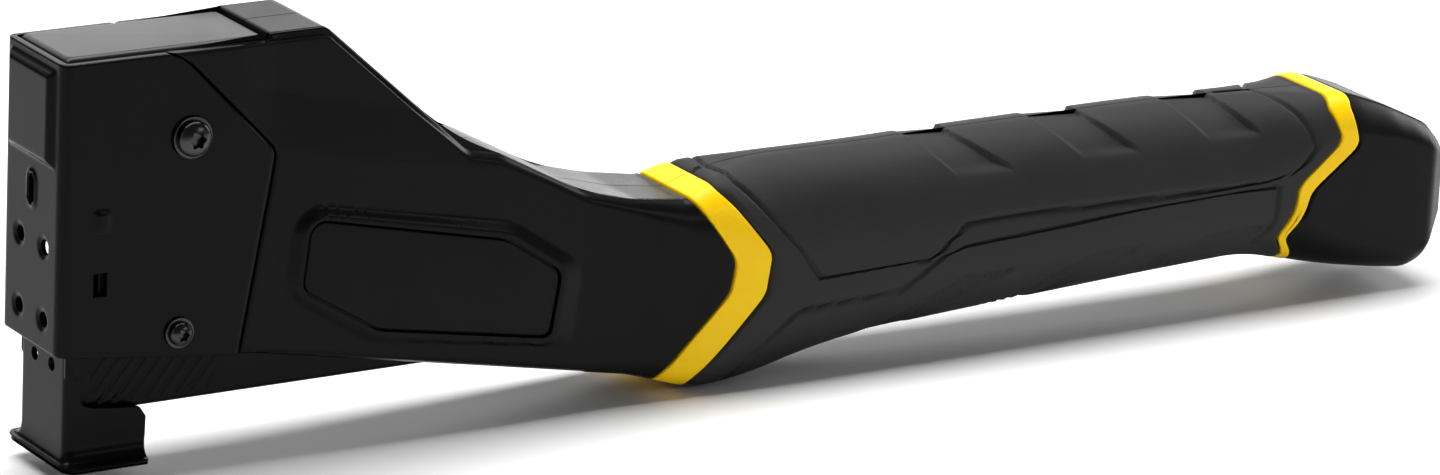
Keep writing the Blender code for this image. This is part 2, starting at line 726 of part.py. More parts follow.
def driver_blade():
    half = STAPLE_CROWN / 2 - 0.1 * MM
    shoulder_z = BLOCK_BASE_Z + 2 * MM
    top_z = BLOCK_TOP_Z - 1.5 * MM
    outline = mirrored([
        (half, BLADE_TIP_Z), (half, shoulder_z), (half + BLADE_SHOULDER, shoulder_z + 2 * MM),
        (half + BLADE_SHOULDER, top_z),
    ])
    local = [(y, (z - BLADE_TIP_Z) / math.cos(BLADE_TILT)) for y, z in outline]
    blade = plate(
        "driver_blade", local, -BLADE_THICKNESS / 2, BLADE_THICKNESS / 2, plane="YZ",
        material=BRIGHT_STEEL,
    )
    blade.location = (BLADE_TIP_X, 0, BLADE_TIP_Z)
    blade.rotation_euler = (0, BLADE_TILT, 0)
    for z in DRIVER_SCREW_Z:
        x = blade_x(z)
        boolean(blade, rod("blade_hole", 1.8 * MM, (x - 5 * MM, 0, z), (x + 5 * MM, 0, z), 12))


def screw_profile(head_radius, head_height, shank_radius, length, socket=0.0):
    """Half a screw's outline from the top of its head to its tip; the head stands above z = 0."""
    crown = 0.72 * head_radius
    top = [(0, head_height)]
    if socket:
        top = [(0, head_height - socket), (0.42 * head_radius, head_height - socket),
               (0.42 * head_radius, head_height)]
    return top + [
        (crown, head_height), (head_radius, 0.45 * head_height), (head_radius, 0),
        (shank_radius, 0), (shank_radius, -length), (0, -length),
    ]


def fasteners():
    x, z = HEAD_SCREW
    length = 2 * HEAD_HALF + 2.4 * MM
    head = screw_profile(4.6 * MM, 3.0 * MM, 1.9 * MM, length, 1.6 * MM)
    turned("head_screw", head, (x, -HEAD_HALF - GAP, z), (0, -1, 0), SCREW_STEEL)
    nut = rod(
        "head_nut", 4.2 * MM, (x, HEAD_HALF + GAP, z), (x, HEAD_HALF + GAP + 2.6 * MM, z), 6,
        SCREW_STEEL,
    )
    boolean(nut, rod("head_nut_bore", 1.9 * MM + GAP, (x, 0, z), (x, 40 * MM, z), 16))
    x, z = LOWER_SCREW
    profile = screw_profile(3.0 * MM, 2.4 * MM, 1.5 * MM, SHELL_SHEET + GAP + CHEEK_WALL, 1.2 * MM)
    for side, word in ((-1, "left"), (1, "right")):
        place = (x, side * (HEAD_HALF + GAP), z)
        turned("lower_screw_" + word, profile, place, (0, side, 0), SCREW_STEEL)
    for name, x, z in HOUSING_SCREWS:
        seat = screw_seat(x, z)
        profile = screw_profile(SCREW_HEAD_RADIUS, SCREW_HEAD, SCREW_RADIUS, SCREW_GRIP * seat)
        turned(name, profile, (x, seat, z), (0, 1, 0), SCREW_STEEL)
    for z, word in zip(DRIVER_SCREW_Z, ("lower", "upper")):
        x = blade_x(z) - BLADE_THICKNESS / 2 - 0.45 * MM
        profile = screw_profile(2.8 * MM, 1.8 * MM, 1.5 * MM, 11.0 * MM)
        turned("driver_screw_" + word, profile, (x, 0, z), (-1, 0, 0), SCREW_STEEL)


def return_spring():
    seat = LID_TOP_Z + GAP + 1.2 * MM
    start = (SPRING_X, 0, seat + SPRING_WIRE / 2 + GAP)
    end = (SPRING_X, 0, SPRING_POCKET_TOP_Z - SPRING_WIRE / 2 - GAP)
    coil("return_spring", SPRING_RADIUS, SPRING_WIRE, SPRING_TURNS, start, end, 10, SPRING_STEEL)


# ---------------------------------------------------------------- swinging magazine

def on_pivot(obj):
    """Put the object's origin on the magazine's hinge axis without moving its shape."""
    pivot = Vector((X_PIVOT, 0, PIVOT_Z))
    shift = obj.matrix_basis.inverted() @ pivot
    obj.data.transform(Matrix.Translation(-shift))
    obj.matrix_basis = obj.matrix_basis @ Matrix.Translation(shift)
    return obj


def nose_shoe():
    """Folded steel round the nose: front plate, side wings, tabs and the turned-out lip."""
    back = NOSE_X + TAB_LENGTH
    wing = NOSE_X + WING_LENGTH
    side_view = [
        (NOSE_X, 0.2 * MM), (NOSE_X, NOSE_TOP_Z), (wing, NOSE_TOP_Z),
        (wing, TAB_TOP_Z + 1.5 * MM), (wing + 1.5 * MM, TAB_TOP_Z),
        (back - 1.6 * MM, TAB_TOP_Z - 1.2 * MM), (back, TAB_TOP_Z - 3.6 * MM), (back, 0.2 * MM),
    ]
    shoe = plate("nose_shoe", side_view, -NOSE_HALF, NOSE_HALF, material=STEEL_BLACK)
    upright = [e for e in shoe.data.edges if all(
        abs(abs(shoe.data.vertices[v].co.y) - NOSE_HALF) < 1e-6
        and shoe.data.vertices[v].co.x < NOSE_X + 1e-6 for v in e.vertices)
        and abs(shoe.data.vertices[e.vertices[0]].co.z - shoe.data.vertices[e.vertices[1]].co.z) > MM]
    soften(shoe, 1.1 * MM, upright)
    lip = [
        (NOSE_X - LIP_FORWARD, -NOSE_HALF - LIP_WIDTH), (back - 1.6 * MM, -NOSE_HALF - LIP_WIDTH),
        (back - 1.6 * MM, NOSE_HALF + LIP_WIDTH), (NOSE_X - LIP_FORWARD, NOSE_HALF + LIP_WIDTH),
    ]
    corner = 3.5 * MM
    lip[0:1] = [(lip[0][0], lip[0][1] + corner), (lip[0][0] + corner, lip[0][1])]
    lip[-1:] = [(lip[-1][0] + corner, lip[-1][1]), (lip[-1][0], lip[-1][1] - corner)]
    flange = plate("nose_lip", lip, 0, LIP_THICKNESS, plane="XY")
    boolean(shoe, flange, "UNION")
    room = box(
        "nose_room", (NOSE_X + NOSE_SHEET, 60 * MM),
        (-NOSE_HALF + NOSE_SHEET, NOSE_HALF - NOSE_SHEET), (-OVERSHOOT, 60 * MM),
    )
    boolean(shoe, room)
    for y in (-3.9 * MM, 3.9 * MM):
        start = (NOSE_X - MM, y, NOSE_TOP_Z - 7.4 * MM)
        end = (NOSE_X + NOSE_SHEET + 0.3 * MM, y, NOSE_TOP_Z - 7.4 * MM)
        boolean(shoe, rod("nose_hole", 1.5 * MM, start, end, 12))
    return on_pivot(baked(shoe, "nose_shoe", STEEL_BLACK))


def magazine():
    half = NOSE_HALF - NOSE_SHEET - GAP
    block_end = X_MAGAZINE + NOSE_BLOCK_LENGTH
    on_pivot(box(
        "nose_block", (X_MAGAZINE, block_end), (-half, half), (0, SHEATH_SOLE_Z - GAP), ZINC,
    ))
    sheath = channel_outline(SHEATH_HALF, SHEATH_INNER, SHEATH_SOLE_Z, SHEATH_SOLE_Z + SHEATH_HEIGHT)
    on_pivot(plate(
        "magazine_sheath", sheath, X_MAGAZINE, X_MAGAZINE + SHEATH_LENGTH, plane="YZ",
        material=STEEL_BLACK,
    ))
    channel = channel_outline(CHANNEL_HALF, CHANNEL_INNER, CHANNEL_BASE_Z, CHANNEL_TOP_Z)
    on_pivot(plate(
        "magazine_channel", channel, X_MAGAZINE, X_CHANNEL_END, plane="YZ", material=BRIGHT_STEEL,
    ))
    rail = channel_outline(RAIL_HALF, RAIL_SLOT / 2, RAIL_BASE_Z, RAIL_TOP_Z)
    on_pivot(plate(
        "feed_rail", rail, X_MAGAZINE, X_RAIL_END, plane="YZ", material=BRIGHT_STEEL,
    ))
    on_pivot(box(
        "magazine_lid", (X_MAGAZINE, X_CHANNEL_END), (-CHANNEL_HALF, CHANNEL_HALF),
        (CHANNEL_TOP_Z + GAP, LID_TOP_Z), BRIGHT_STEEL,
    ))
    seat = rod(
        "spring_seat", SPRING_RADIUS + SPRING_WIRE, (SPRING_X, 0, LID_TOP_Z + GAP),
        (SPRING_X, 0, LID_TOP_Z + GAP + 1.2 * MM), 20, BRIGHT_STEEL,
    )
    on_pivot(seat)
    for side, word in ((-1, "left"), (1, "right")):
        start = (X_PIVOT, side * (CHANNEL_HALF + GAP), PIVOT_Z)
        end = (X_PIVOT, side * pin_reach(), PIVOT_Z)
        on_pivot(rod("hinge_pin_" + word, PIVOT_RADIUS, start, end, 20, BRIGHT_STEEL))


def channel_outline(outer, inner, base, top):
    """A U section, open upwards, as thick underneath as at its sides."""
    floor = base + outer - inner
    return mirrored([(outer, base), (outer, top), (inner, top), (inner, floor)])


# ---------------------------------------------------------------- loading rod and pusher

def loading_rod():
    inner = CHANNEL_INNER - GAP
    plug = box(
        "loading_plug", (X_PLUG, X_PLUG + PLUG_LENGTH), (-SHEATH_HALF, SHEATH_HALF),
        (PLUG_BASE_Z, PLUG_TOP_Z), BLACK_PLASTIC,
    )
    spigot = box(
        "plug_spigot", (X_SPIGOT, X_PLUG + MM), (-inner, inner),
        (RAIL_BASE_Z, CHANNEL_TOP_Z - GAP),
    )
    boolean(plug, spigot, "UNION")
    boolean(plug, rod("plug_bore", ROD_RADIUS + GAP, (0, 0, ROD_Z), (500 * MM, 0, ROD_Z), 16))
    nut_x = X_PLUG + PLUG_LENGTH - 2 * NUT_LENGTH
    boolean(plug, rod(
        "nut_recess", NUT_RADIUS + 1.0 * MM, (nut_x - GAP, 0, ROD_Z),
        (nut_x + 20 * MM, 0, ROD_Z), 20,
    ))
    start = (X_MAGAZINE + 5 * MM, 0, ROD_Z)
    end = (nut_x + NUT_LENGTH + 0.6 * MM, 0, ROD_Z)
    rod("guide_rod", ROD_RADIUS, start, end, 12, BRIGHT_STEEL)
    nut = rod(
        "rod_nut", NUT_RADIUS, (nut_x, 0, ROD_Z), (nut_x + NUT_LENGTH, 0, ROD_Z), 6, SCREW_STEEL,
    )
    boolean(nut, rod("rod_nut_bore", ROD_RADIUS + GAP, (0, 0, ROD_Z), (500 * MM, 0, ROD_Z), 12))
    spring_start = (X_MAGAZINE + 0.6 * MM + PUSHER_LENGTH + GAP + PUSHER_SPRING_WIRE / 2, 0, ROD_Z)
    spring_end = (X_SPIGOT - GAP - PUSHER_SPRING_WIRE / 2, 0, ROD_Z)
    coil(
        "pusher_spring", PUSHER_SPRING_RADIUS, PUSHER_SPRING_WIRE, PUSHER_SPRING_TURNS,
        spring_start, spring_end, 10, SPRING_STEEL,
    )


def pusher():
    """Straddles the feed rail like a staple and slides on the rod inside it."""
    start = X_MAGAZINE + 0.6 * MM
    outer = CHANNEL_INNER - GAP
    slot = RAIL_SLOT / 2 - GAP
    low = RAIL_BASE_Z
    inside = RAIL_BASE_Z + RAIL_WALL + GAP
    roof = RAIL_TOP_Z + GAP
    top = CHANNEL_TOP_Z - GAP
    outline = mirrored([
        (outer, top), (outer, low), (RAIL_HALF + GAP, low), (RAIL_HALF + GAP, roof),
        (slot, roof), (slot, inside),
    ])
    body = plate("pusher", outline, start, start + PUSHER_LENGTH, plane="YZ", material=BRIGHT_STEEL)
    boolean(body, rod("pusher_bore", ROD_RADIUS + GAP, (0, 0, ROD_Z), (60 * MM, 0, ROD_Z), 16))


def build():
    solid = housing_solid()
    middle = inset(skin_stations(), SKIN_INSET + HOUSING_WALL / 2, X_COVER_END, X_CORE_END - MM)
    limit = loft("wall_middle", middle)
    housing_half("left_housing", solid, -1, limit)
    housing_half("right_housing", solid, 1, limit)
    bands_and_grips()
    side_panels()
    head_shell()
    top_cap()
    head_block()
    driver_blade()
    fasteners()
    return_spring()
    nose_shoe()
    magazine()
    loading_rod()
    pusher()


clear_scene()
PARTS = make_collection("hammer_tacker")
CUTTERS = make_collection("cutters")
ROOT = bpy.data.objects.new("hammer_tacker_root", None)
PARTS.objects.link(ROOT)
BLACK_PLASTIC = make_material("black_plastic", (0.012, 0.012, 0.013), 0.4, 0.0)
PANEL_BLACK = make_material("panel_black", (0.008, 0.008, 0.009), 0.3, 0.0)
RUBBER = make_material("grip_rubber", (0.03, 0.03, 0.031), 0.75, 0.0)
YELLOW = make_material("band_yellow", (0.91, 0.6, 0.0), 0.45, 0.0)
STEEL_BLACK = make_material("painted_steel", (0.01, 0.01, 0.011), 0.28, 0.0)
ZINC = make_material("cast_zinc", (0.45, 0.45, 0.46), 0.45, 1.0)
BRIGHT_STEEL = make_material("bright_steel", (0.6, 0.6, 0.61), 0.3, 1.0)
SPRING_STEEL = make_material("spring_steel", (0.5, 0.5, 0.52), 0.3, 1.0)
SCREW_STEEL = make_material("black_screw_steel", (0.05, 0.05, 0.055), 0.25, 1.0)
build()
ROOT.location = (-X_ORIGIN, 0, 0)
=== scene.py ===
"""Looks of the hammer tacker: fine skins, steel head and shoe, materials, light and camera.

Sizes are in millimetres, counted as in the design: x from the head's front face to the butt, y from
the middle plane, z up from the sole. placed() turns them into the frame's metres.
"""

import math

import bmesh
import bpy
import numpy as np
from mathutils import Matrix, Vector


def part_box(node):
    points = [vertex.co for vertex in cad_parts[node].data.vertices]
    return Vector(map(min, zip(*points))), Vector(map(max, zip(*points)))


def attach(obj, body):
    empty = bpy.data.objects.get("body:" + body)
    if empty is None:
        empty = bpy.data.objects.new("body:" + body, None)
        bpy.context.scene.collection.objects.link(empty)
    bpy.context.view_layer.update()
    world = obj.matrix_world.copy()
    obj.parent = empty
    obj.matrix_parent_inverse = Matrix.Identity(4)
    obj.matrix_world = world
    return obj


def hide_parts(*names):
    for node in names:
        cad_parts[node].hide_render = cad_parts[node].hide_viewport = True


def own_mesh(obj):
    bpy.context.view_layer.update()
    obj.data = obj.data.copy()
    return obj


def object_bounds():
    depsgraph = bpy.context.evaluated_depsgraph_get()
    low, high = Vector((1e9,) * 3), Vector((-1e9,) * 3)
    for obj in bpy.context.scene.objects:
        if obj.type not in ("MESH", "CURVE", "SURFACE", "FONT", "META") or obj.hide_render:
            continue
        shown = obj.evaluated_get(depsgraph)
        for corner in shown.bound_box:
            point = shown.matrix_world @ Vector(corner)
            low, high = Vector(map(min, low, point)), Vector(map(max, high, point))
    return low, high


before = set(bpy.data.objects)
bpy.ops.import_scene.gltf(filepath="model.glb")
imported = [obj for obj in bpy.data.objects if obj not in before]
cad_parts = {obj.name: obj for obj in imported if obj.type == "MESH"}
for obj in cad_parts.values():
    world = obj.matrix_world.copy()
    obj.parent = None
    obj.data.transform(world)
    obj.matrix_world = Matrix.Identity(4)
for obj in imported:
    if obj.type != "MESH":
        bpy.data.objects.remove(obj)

CAD_BOX = [[float(v) for v in corner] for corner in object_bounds()]
MM = 0.001
BOSS = 1.5
HEAD_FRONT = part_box("head_shell")[0][0] / MM + BOSS


def x_of(node, end):
    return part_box(node)[end][0] / MM - HEAD_FRONT


def z_of(node, end):
    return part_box(node)[end][2] / MM


def middle_of(node):
    """The middle of a node's box along the tool and up it."""
    return (x_of(node, 0) + x_of(node, 1)) / 2, (z_of(node, 0) + z_of(node, 1)) / 2


def half_of(node):
    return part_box(node)[1][1] / MM


# Driving sizes, read from the frame
HEAD_HALF = half_of("head_shell")
CHANNEL_HALF = half_of("magazine_channel")
SHEATH_HALF = half_of("magazine_sheath")
COVER_HALF = half_of("top_cap")
X_END = x_of("butt_cap", 1)
X_COVER_END = x_of("top_cap", 1)
COVER_TOP = z_of("top_cap", 1)
X_BAND = X_END - 210.0
X_REAR_BAND = X_END - 39.0
X_CREST_END = X_COVER_END + 14.0
X_SLOPE_END = X_CREST_END + 35.4
X_CORE_END = X_END - 19.0
CHEEK_HALF = HEAD_HALF - 1.8
CAVITY_HALF = CHEEK_HALF - 1.9
GAP = 0.3
SEAM = 0.06
PAD = 1.2
CAVITY_TOP = 84.0
HEAD_SCREW = (30.2, 71.3)
LOWER_SCREW = (28.3, 28.6)


# ---------------------------------------------------------------- meshes

def placed(points):
    """Design millimetres to the frame's metres."""
    points = np.asarray(points, float).reshape(-1, 3)
    return (points + (HEAD_FRONT, 0, 0)) * MM


def new_piece(name, points, faces, sharp=38):
    mesh = bpy.data.meshes.new(name)
    mesh.from_pydata([tuple(p) for p in placed(points)], [], faces)
    bm = bmesh.new()
    bm.from_mesh(mesh)
    bmesh.ops.recalc_face_normals(bm, faces=bm.faces)
    bm.to_mesh(mesh)
    bm.free()
    piece = bpy.data.objects.new(name, mesh)
    bpy.context.scene.collection.objects.link(piece)
    smooth(piece, sharp)
    return piece


def smooth(piece, sharp=38):
    piece.data.shade_smooth()
    piece.data.set_sharp_from_angle(angle=math.radians(sharp))


def grid_faces(rows, columns, start=0, flip=False, wrap=False):
    faces = []
    for i in range(rows - 1):
        for j in range(columns if wrap else columns - 1):
            k = (j + 1) % columns
            face = (start + i * columns + j, start + i * columns + k,
                    start + (i + 1) * columns + k, start + (i + 1) * columns + j)
            faces.append(face[::-1] if flip else face)
    return faces


def walled(name, outer, inner, coarse=5, sharp=38):
    """A closed sheet: a fine outer grid, a coarse inner one and the walls between their edges."""
    n, m = outer.shape[:2]
    rows = sorted(set(range(0, n, coarse)) | {n - 1})
    columns = sorted(set(range(0, m, coarse)) | {m - 1})
    back = inner[np.ix_(rows, columns)]
    points = np.concatenate([outer.reshape(-1, 3), back.reshape(-1, 3)])
    faces = grid_faces(n, m)
    faces += grid_faces(len(rows), len(columns), n * m, flip=True)

    def front(i, j):
        return i * m + j

    def rear(i, j):
        return n * m + i * len(columns) + j

    for i, edge in ((0, 0), (n - 1, len(rows) - 1)):
        for j in range(len(columns) - 1):
            span = [front(i, c) for c in range(columns[j], columns[j + 1] + 1)]
            faces.append(span + [rear(edge, j + 1), rear(edge, j)])
    for j, edge in ((0, 0), (m - 1, len(columns) - 1)):
        for i in range(len(rows) - 1):
            span = [front(r, j) for r in range(rows[i], rows[i + 1] + 1)]
            faces.append(span + [rear(i + 1, edge), rear(i, edge)])
    return new_piece(name, points, faces, sharp)


def rings(name, loops, sharp=38):
    """A closed solid through loops of equally many points, with flat ends."""
    loops = [np.asarray(loop, float) for loop in loops]
    count = len(loops[0])
    faces = grid_faces(len(loops), count, wrap=True)
    faces.append(tuple(range(count)))
    faces.append(tuple((len(loops) - 1) * count + i for i in range(count)))
    return new_piece(name, np.concatenate(loops), faces, sharp)


def box_cutter(x, y, z):
    loop = [(x[0], y[0]), (x[1], y[0]), (x[1], y[1]), (x[0], y[1])]
    return rings("cutter", [[(a, b, z[0]) for a, b in loop], [(a, b, z[1]) for a, b in loop]])


def round_cutter(axis, place, radius, length, tall=0.0, steps=24):
    """A round or, with tall, upright oval bar along the axis "x" or "y", centred on place."""
    loops = []
    for end in (-0.5, 0.5):
        loop = []
        for k in range(steps):
            turn = 2 * math.pi * k / steps
            across = radius * math.cos(turn)
            up = radius * math.sin(turn) + math.copysign(tall, math.sin(turn))
            offset = (end * length, across, up) if axis == "x" else (across, end * length, up)
            loop.append(tuple(a + b for a, b in zip(place, offset)))
        loops.append(loop)
    return rings("cutter", loops)


def cut(piece, cutters, sharp=38):
    """Take the cutters out of the piece and remove them."""
    for tool in cutters:
        modifier = piece.modifiers.new("Cut", "BOOLEAN")
        modifier.operation = "DIFFERENCE"
        modifier.solver = "EXACT"
        modifier.object = tool
    graph = bpy.context.evaluated_depsgraph_get()
    mesh = bpy.data.meshes.new_from_object(piece.evaluated_get(graph))
    piece.modifiers.clear()
    piece.data = mesh
    for tool in cutters:
        bpy.data.objects.remove(tool, do_unlink=True)
    smooth(piece, sharp)
    return piece


def normals_of(grid):
    """Unit normals of a grid of points, pointing away from the tool's middle line."""
    along = np.gradient(grid, axis=0)
    across = np.gradient(grid, axis=1)
    normal = np.cross(along, across)
    normal /= np.maximum(np.linalg.norm(normal, axis=2, keepdims=True), 1e-9)
    middle = grid.shape[0] // 2, grid.shape[1] // 2
    if normal[middle][1] * grid[middle][1] < 0:
        normal = -normal
    return normal


def ramp(value, low, high):
    """0 below low, 1 above high, smooth between."""
    t = np.clip((value - low) / (high - low), 0, 1)
    return t * t * (3 - 2 * t)


def rolled(distance, radius):
    """How far a rounded edge falls away at a distance from its end."""
    inside = np.clip(radius - distance, 0, radius)
    return radius - np.sqrt(np.maximum(radius ** 2 - inside ** 2, 0))


def edge_distance(x, z, outline):
    """Distance to a closed outline, positive inside it."""
    outline = np.asarray(outline, float)
    best = np.full(x.shape, 1e9)
    inside = np.zeros(x.shape, bool)
    for (ax, az), (bx, bz) in zip(outline, np.roll(outline, -1, axis=0)):
        best = np.minimum(best, segment_distance(x, z, (ax, az), (bx, bz)))
        if az != bz:
            crosses = (az > z) != (bz > z)
            inside ^= crosses & (x < ax + (z - az) / (bz - az) * (bx - ax))
    return np.where(inside, best, -best)


def segment_distance(x, z, a, b):
    dx, dz = b[0] - a[0], b[1] - a[1]
    t = np.clip(((x - a[0]) * dx + (z - a[1]) * dz) / max(dx * dx + dz * dz, 1e-9), 0, 1)
    return np.hypot(x - a[0] - t * dx, z - a[1] - t * dz)


def line_distance(x, z, line):
    best = np.full(x.shape, 1e9)
    for a, b in zip(line, line[1:]):
        best = np.minimum(best, segment_distance(x, z, a, b))
    return best


def rounded(outline, radius, steps=5):
    """A closed outline with its corners rounded."""
    points = [np.array(p, float) for p in outline]
    result = []
    for before, corner, after in zip(points[-1:] + points[:-1], points, points[1:] + points[:1]):
        back = before - corner
        ahead = after - corner
        reach = min(radius, np.linalg.norm(back) / 2.2, np.linalg.norm(ahead) / 2.2)
        start = corner + back / np.linalg.norm(back) * reach
        end = corner + ahead / np.linalg.norm(ahead) * reach
        for k in range(steps + 1):
            t = k / steps
            result.append((1 - t) ** 2 * start + 2 * t * (1 - t) * corner + t * t * end)
    return result


# ---------------------------------------------------------------- the skin's shape

def base_z(x):
    head = z_of("head_shell", 0) + 5.0
    fall = 0.12 * np.minimum(x, X_COVER_END) + 0.188 * np.maximum(x - X_COVER_END, 0)
    return head - fall


def skin_table():
    """Stations of the outside: x, half width, bottom, top, corner across, corner up."""
    head = HEAD_HALF
    top = COVER_TOP + 0.7
    edge = (2.4, 2.4)
    s = X_SLOPE_END
    table = [
        (0, head, base_z(0), top, *edge),
        (X_COVER_END, head, base_z(X_COVER_END), top, *edge),
        (X_CREST_END, head, base_z(X_CREST_END), top, *edge),
        (s, head, base_z(s), 60.0, *edge),
        (s + 8, head, base_z(s + 8), 58.3, *edge),
        (s + 30, head, base_z(s + 30), 46.8, *edge),
        (s + 43, head + 0.4, base_z(s + 43), 43.4, 2.8, 3.4),
    ]
    handle = [
        (0, 1.4, -1.6, 41.4, 5.0, 7.0), (8, 2.2, -3.3, 44.6, 8.0, 12.0),
        (21, 3.0, -3.0, 46.6, 12.0, 19.0), (34, 3.1, 0.2, 46.6, 12.5, 19.0),
        (50, 3.2, 2.8, 46.4, 12.5, 18.0), (75, 3.2, 4.2, 46.8, 12.5, 18.0),
    ]
    table += [(X_BAND + x, head + w, b, t, cy, cz) for x, w, b, t, cy, cz in handle]
    rear = [
        (-45, 3.1, 6.6, 47.0, 12.5, 17.5), (-15, 2.8, 7.8, 46.4, 12.0, 16.0),
        (7, 2.6, 3.0, 45.8, 8.0, 8.0), (20, 2.6, 1.2, 41.4, 6.0, 6.0),
    ]
    table += [(X_REAR_BAND + x, head + w, b, t, cy, cz) for x, w, b, t, cy, cz in rear]
    end = [(-10, 2.6, 0.3, 37.2, 5.0, 5.0), (-6, 2.5, 1.6, 35.2, 5.0, 5.0),
           (0, -2.0, 10.3, 30.3, 4.0, 4.0)]
    table += [(X_END + x, head + w, b, t, cy, cz) for x, w, b, t, cy, cz in end]
    return np.array(table)


SKIN = skin_table()


def skin_values(x):
    """Half width, bottom, top and corners of the skin at x, with its bends rounded off."""
    window = 2.5 + 9.5 * ramp(x, X_BAND - 4, X_BAND + 24) * (1 - ramp(x, X_END - 24, X_END - 12))
    values = []
    for column in range(1, 6):
        total = 0
        for k in range(-4, 5):
            total = total + np.interp(x + window * k / 8, SKIN[:, 0], SKIN[:, column])
        values.append(total / 9)
    return values


def half_section(flat, corner, side, base, facet=0.0):
    """Weights of half a section's points, from the top's middle round to the base's middle.

    Each row weights (half - corner across), corner across, the top and corner up. facet flattens
    the corners."""
    rows = [(f, 0, 1, 0) for f in flat]
    for i in range(1, corner + 1):
        out, drop = bend(i / corner, facet)
        rows.append((1, out, 1, -drop))
    for i in range(1, side):
        f = i / side
        rows.append((1, 1, 1 - f, 2 * f - 1))
    for i in range(corner + 1):
        out, drop = bend(1 - i / corner, facet)
        rows.append((1, out, 0, drop))
    rows += [(f, 0, 0, 0) for f in base[::-1]]
    return np.array(rows)


def bend(share, facet):
    """Out and down shares along a corner: a quarter circle mixed with a straight facet."""
    angle = share * math.pi / 2
    straight = float(ramp(np.float64(share), -0.12, 1.12))
    out = (1 - facet) * math.sin(angle) + facet * straight
    drop = (1 - facet) * (1 - math.cos(angle)) + facet * straight
    if share in (0, 1):
        return share, share
    return out, drop


FLAT = (0, 0.015, 0.04, 0.08, 0.14, 0.22, 0.32, 0.44, 0.56, 0.68, 0.8, 0.9, 1)
FINE = half_section(FLAT, 40, 26, FLAT)
PLAIN = half_section(FLAT, 12, 84, FLAT)


def skin(x, weights, side, inset=0.0):
    """Points of the skin on one side, for x given for each row and column, drawn in by inset."""
    half, bottom, top, across, up = skin_values(x)
    crown = ramp(x, X_BAND, X_BAND + 24) * (1 - ramp(x, X_REAR_BAND - 4, X_REAR_BAND + 7))
    settled = X_REAR_BAND + np.array([-160, -20, -5, 2, 8])
    top = top - np.interp(x, settled, (0.4, 0.6, 0.9, 1.0, 0)) * ramp(x, X_BAND, X_BAND + 24)
    half, bottom, top = half - inset, bottom + inset, top - inset
    above = weights[:, 2] == 1
    across = np.maximum(across * np.where(above, 1 + 0.26 * crown, 1) - inset, 0.5)
    upper = np.maximum(up * (1 + 0.1 * crown) - inset, 0.5)
    lower = np.maximum(up - inset, 0.5)
    share = weights[:, 2]
    side_row = (share > 0) & (share < 1)
    drop = np.where(above, weights[:, 3], np.where(side_row, -share, 0))
    rise = np.where(above, 0, np.where(side_row, 1 - share, weights[:, 3]))
    y = (half - across) * weights[:, 0] + across * weights[:, 1]
    z = top * share + bottom * (1 - share) + upper * drop + lower * rise
    return np.stack([x, side * np.maximum(y, SEAM), z], axis=2)


def line_x(line, z):
    """Where a line of (x, z) points is at the height z, with its bends rounded off."""
    xs = [p[0] for p in line][::-1]
    zs = [p[1] for p in line][::-1]
    return sum(np.interp(z + 0.5 * k, zs, xs) for k in range(-3, 4)) / 7


def crossing(line, weights):
    """Where each of the section's points meets a line, which may be given as a function."""
    if callable(line):
        return line(weights)
    x = np.full(len(weights), line[len(line) // 2][0], float)
    for _ in range(80):
        z = skin(x[None, :], weights, 1)[0, :, 2]
        x = x + 0.5 * (line_x(line, z) - x)
    return x


def sleeve(side, front, rear, weights, count, wall, roll, relief=None, before=None, after=None):
    """One half of a skin part between two lines, with rolled edges, as a closed sheet.

    before and after are (x, depth) of a sunken stretch that goes on under the neighbours."""
    first = crossing(front, weights)
    last = crossing(rear, weights)
    steps = [0, 0.1, 0.25, 0.45, 0.7, 1.0, 1.4]
    rows = [first + d for d in steps]
    inner_first = first + steps[-1]
    inner_last = last - steps[-1]
    for i in range(1, count):
        rows.append(inner_first + (inner_last - inner_first) * i / count)
    rows += [last - d for d in steps[::-1]]
    depth = [0.0] * len(rows)
    if before:
        rows = [before[0] + (first - before[0]) * t for t in np.linspace(0, 1, 14)] + rows
        depth = [before[1]] * 14 + depth
    if after:
        rows += [last + (after[0] - last) * t for t in np.linspace(0, 1, 24)]
        depth += [after[1]] * 24
    x = np.array(rows)
    points = skin(x, weights, side)
    normal = normals_of(points)
    shown = np.array([d == 0.0 for d in depth])[:, None]
    fall = rolled(np.minimum(x - first, 99), roll) + rolled(np.minimum(last - x, 99), roll)
    seam = np.abs(points[:, :, 1]) - SEAM
    fall = fall + np.where(shown, rolled(seam, 0.12), 0)
    lift = np.where(shown, relief(points, x - first, last - x), 0) if relief else 0
    outer = points + normal * (lift - fall)[:, :, None]
    sunk = np.array(depth)[:, None] * np.ones(x.shape)
    outer = np.where(shown[:, :, None], outer, skin(x, weights, side, sunk))
    outer[:, :, 1] = side * np.maximum(side * outer[:, :, 1], SEAM)
    return outer, skin(x, weights, side, wall + sunk)


# ---------------------------------------------------------------- lines on the outside

def band_lines():
    front = [(0, 80), (0, 43), (11.1, 27.1), (9.8, 19.9), (-6.7, 2.2), (-9.5, -25)]
    front_rear = [(6.6, 80), (6.6, 43.6), (10.7, 39.5), (19.9, 28), (18.6, 18.7), (1.1, -0.4), (-2, -25)]
    rear = [
        (5.2, 70), (5.2, 45.1), (2.8, 44), (4.2, 39.6), (5.7, 35.3), (-6, 26), (-6.4, 21),
        (-10.5, 13.2), (-8.5, 10.5), (-6, 7), (-4, -25),
    ]
    rear_rear = [
        (11, 70), (11, 45.1), (8.4, 43.6), (9.1, 39), (10.6, 33.9), (-2.4, 24.2), (-4.1, 19),
        (-8.6, 12.9), (-6.5, 10.3), (-4, 7), (-2, -25),
    ]
    return (
        [(X_BAND + x, z) for x, z in front], [(X_BAND + x, z) for x, z in front_rear],
        [(X_REAR_BAND + x, z) for x, z in rear], [(X_REAR_BAND + x, z) for x, z in rear_rear],
    )


BAND_A, BAND_B, BAND_C, BAND_D = band_lines()


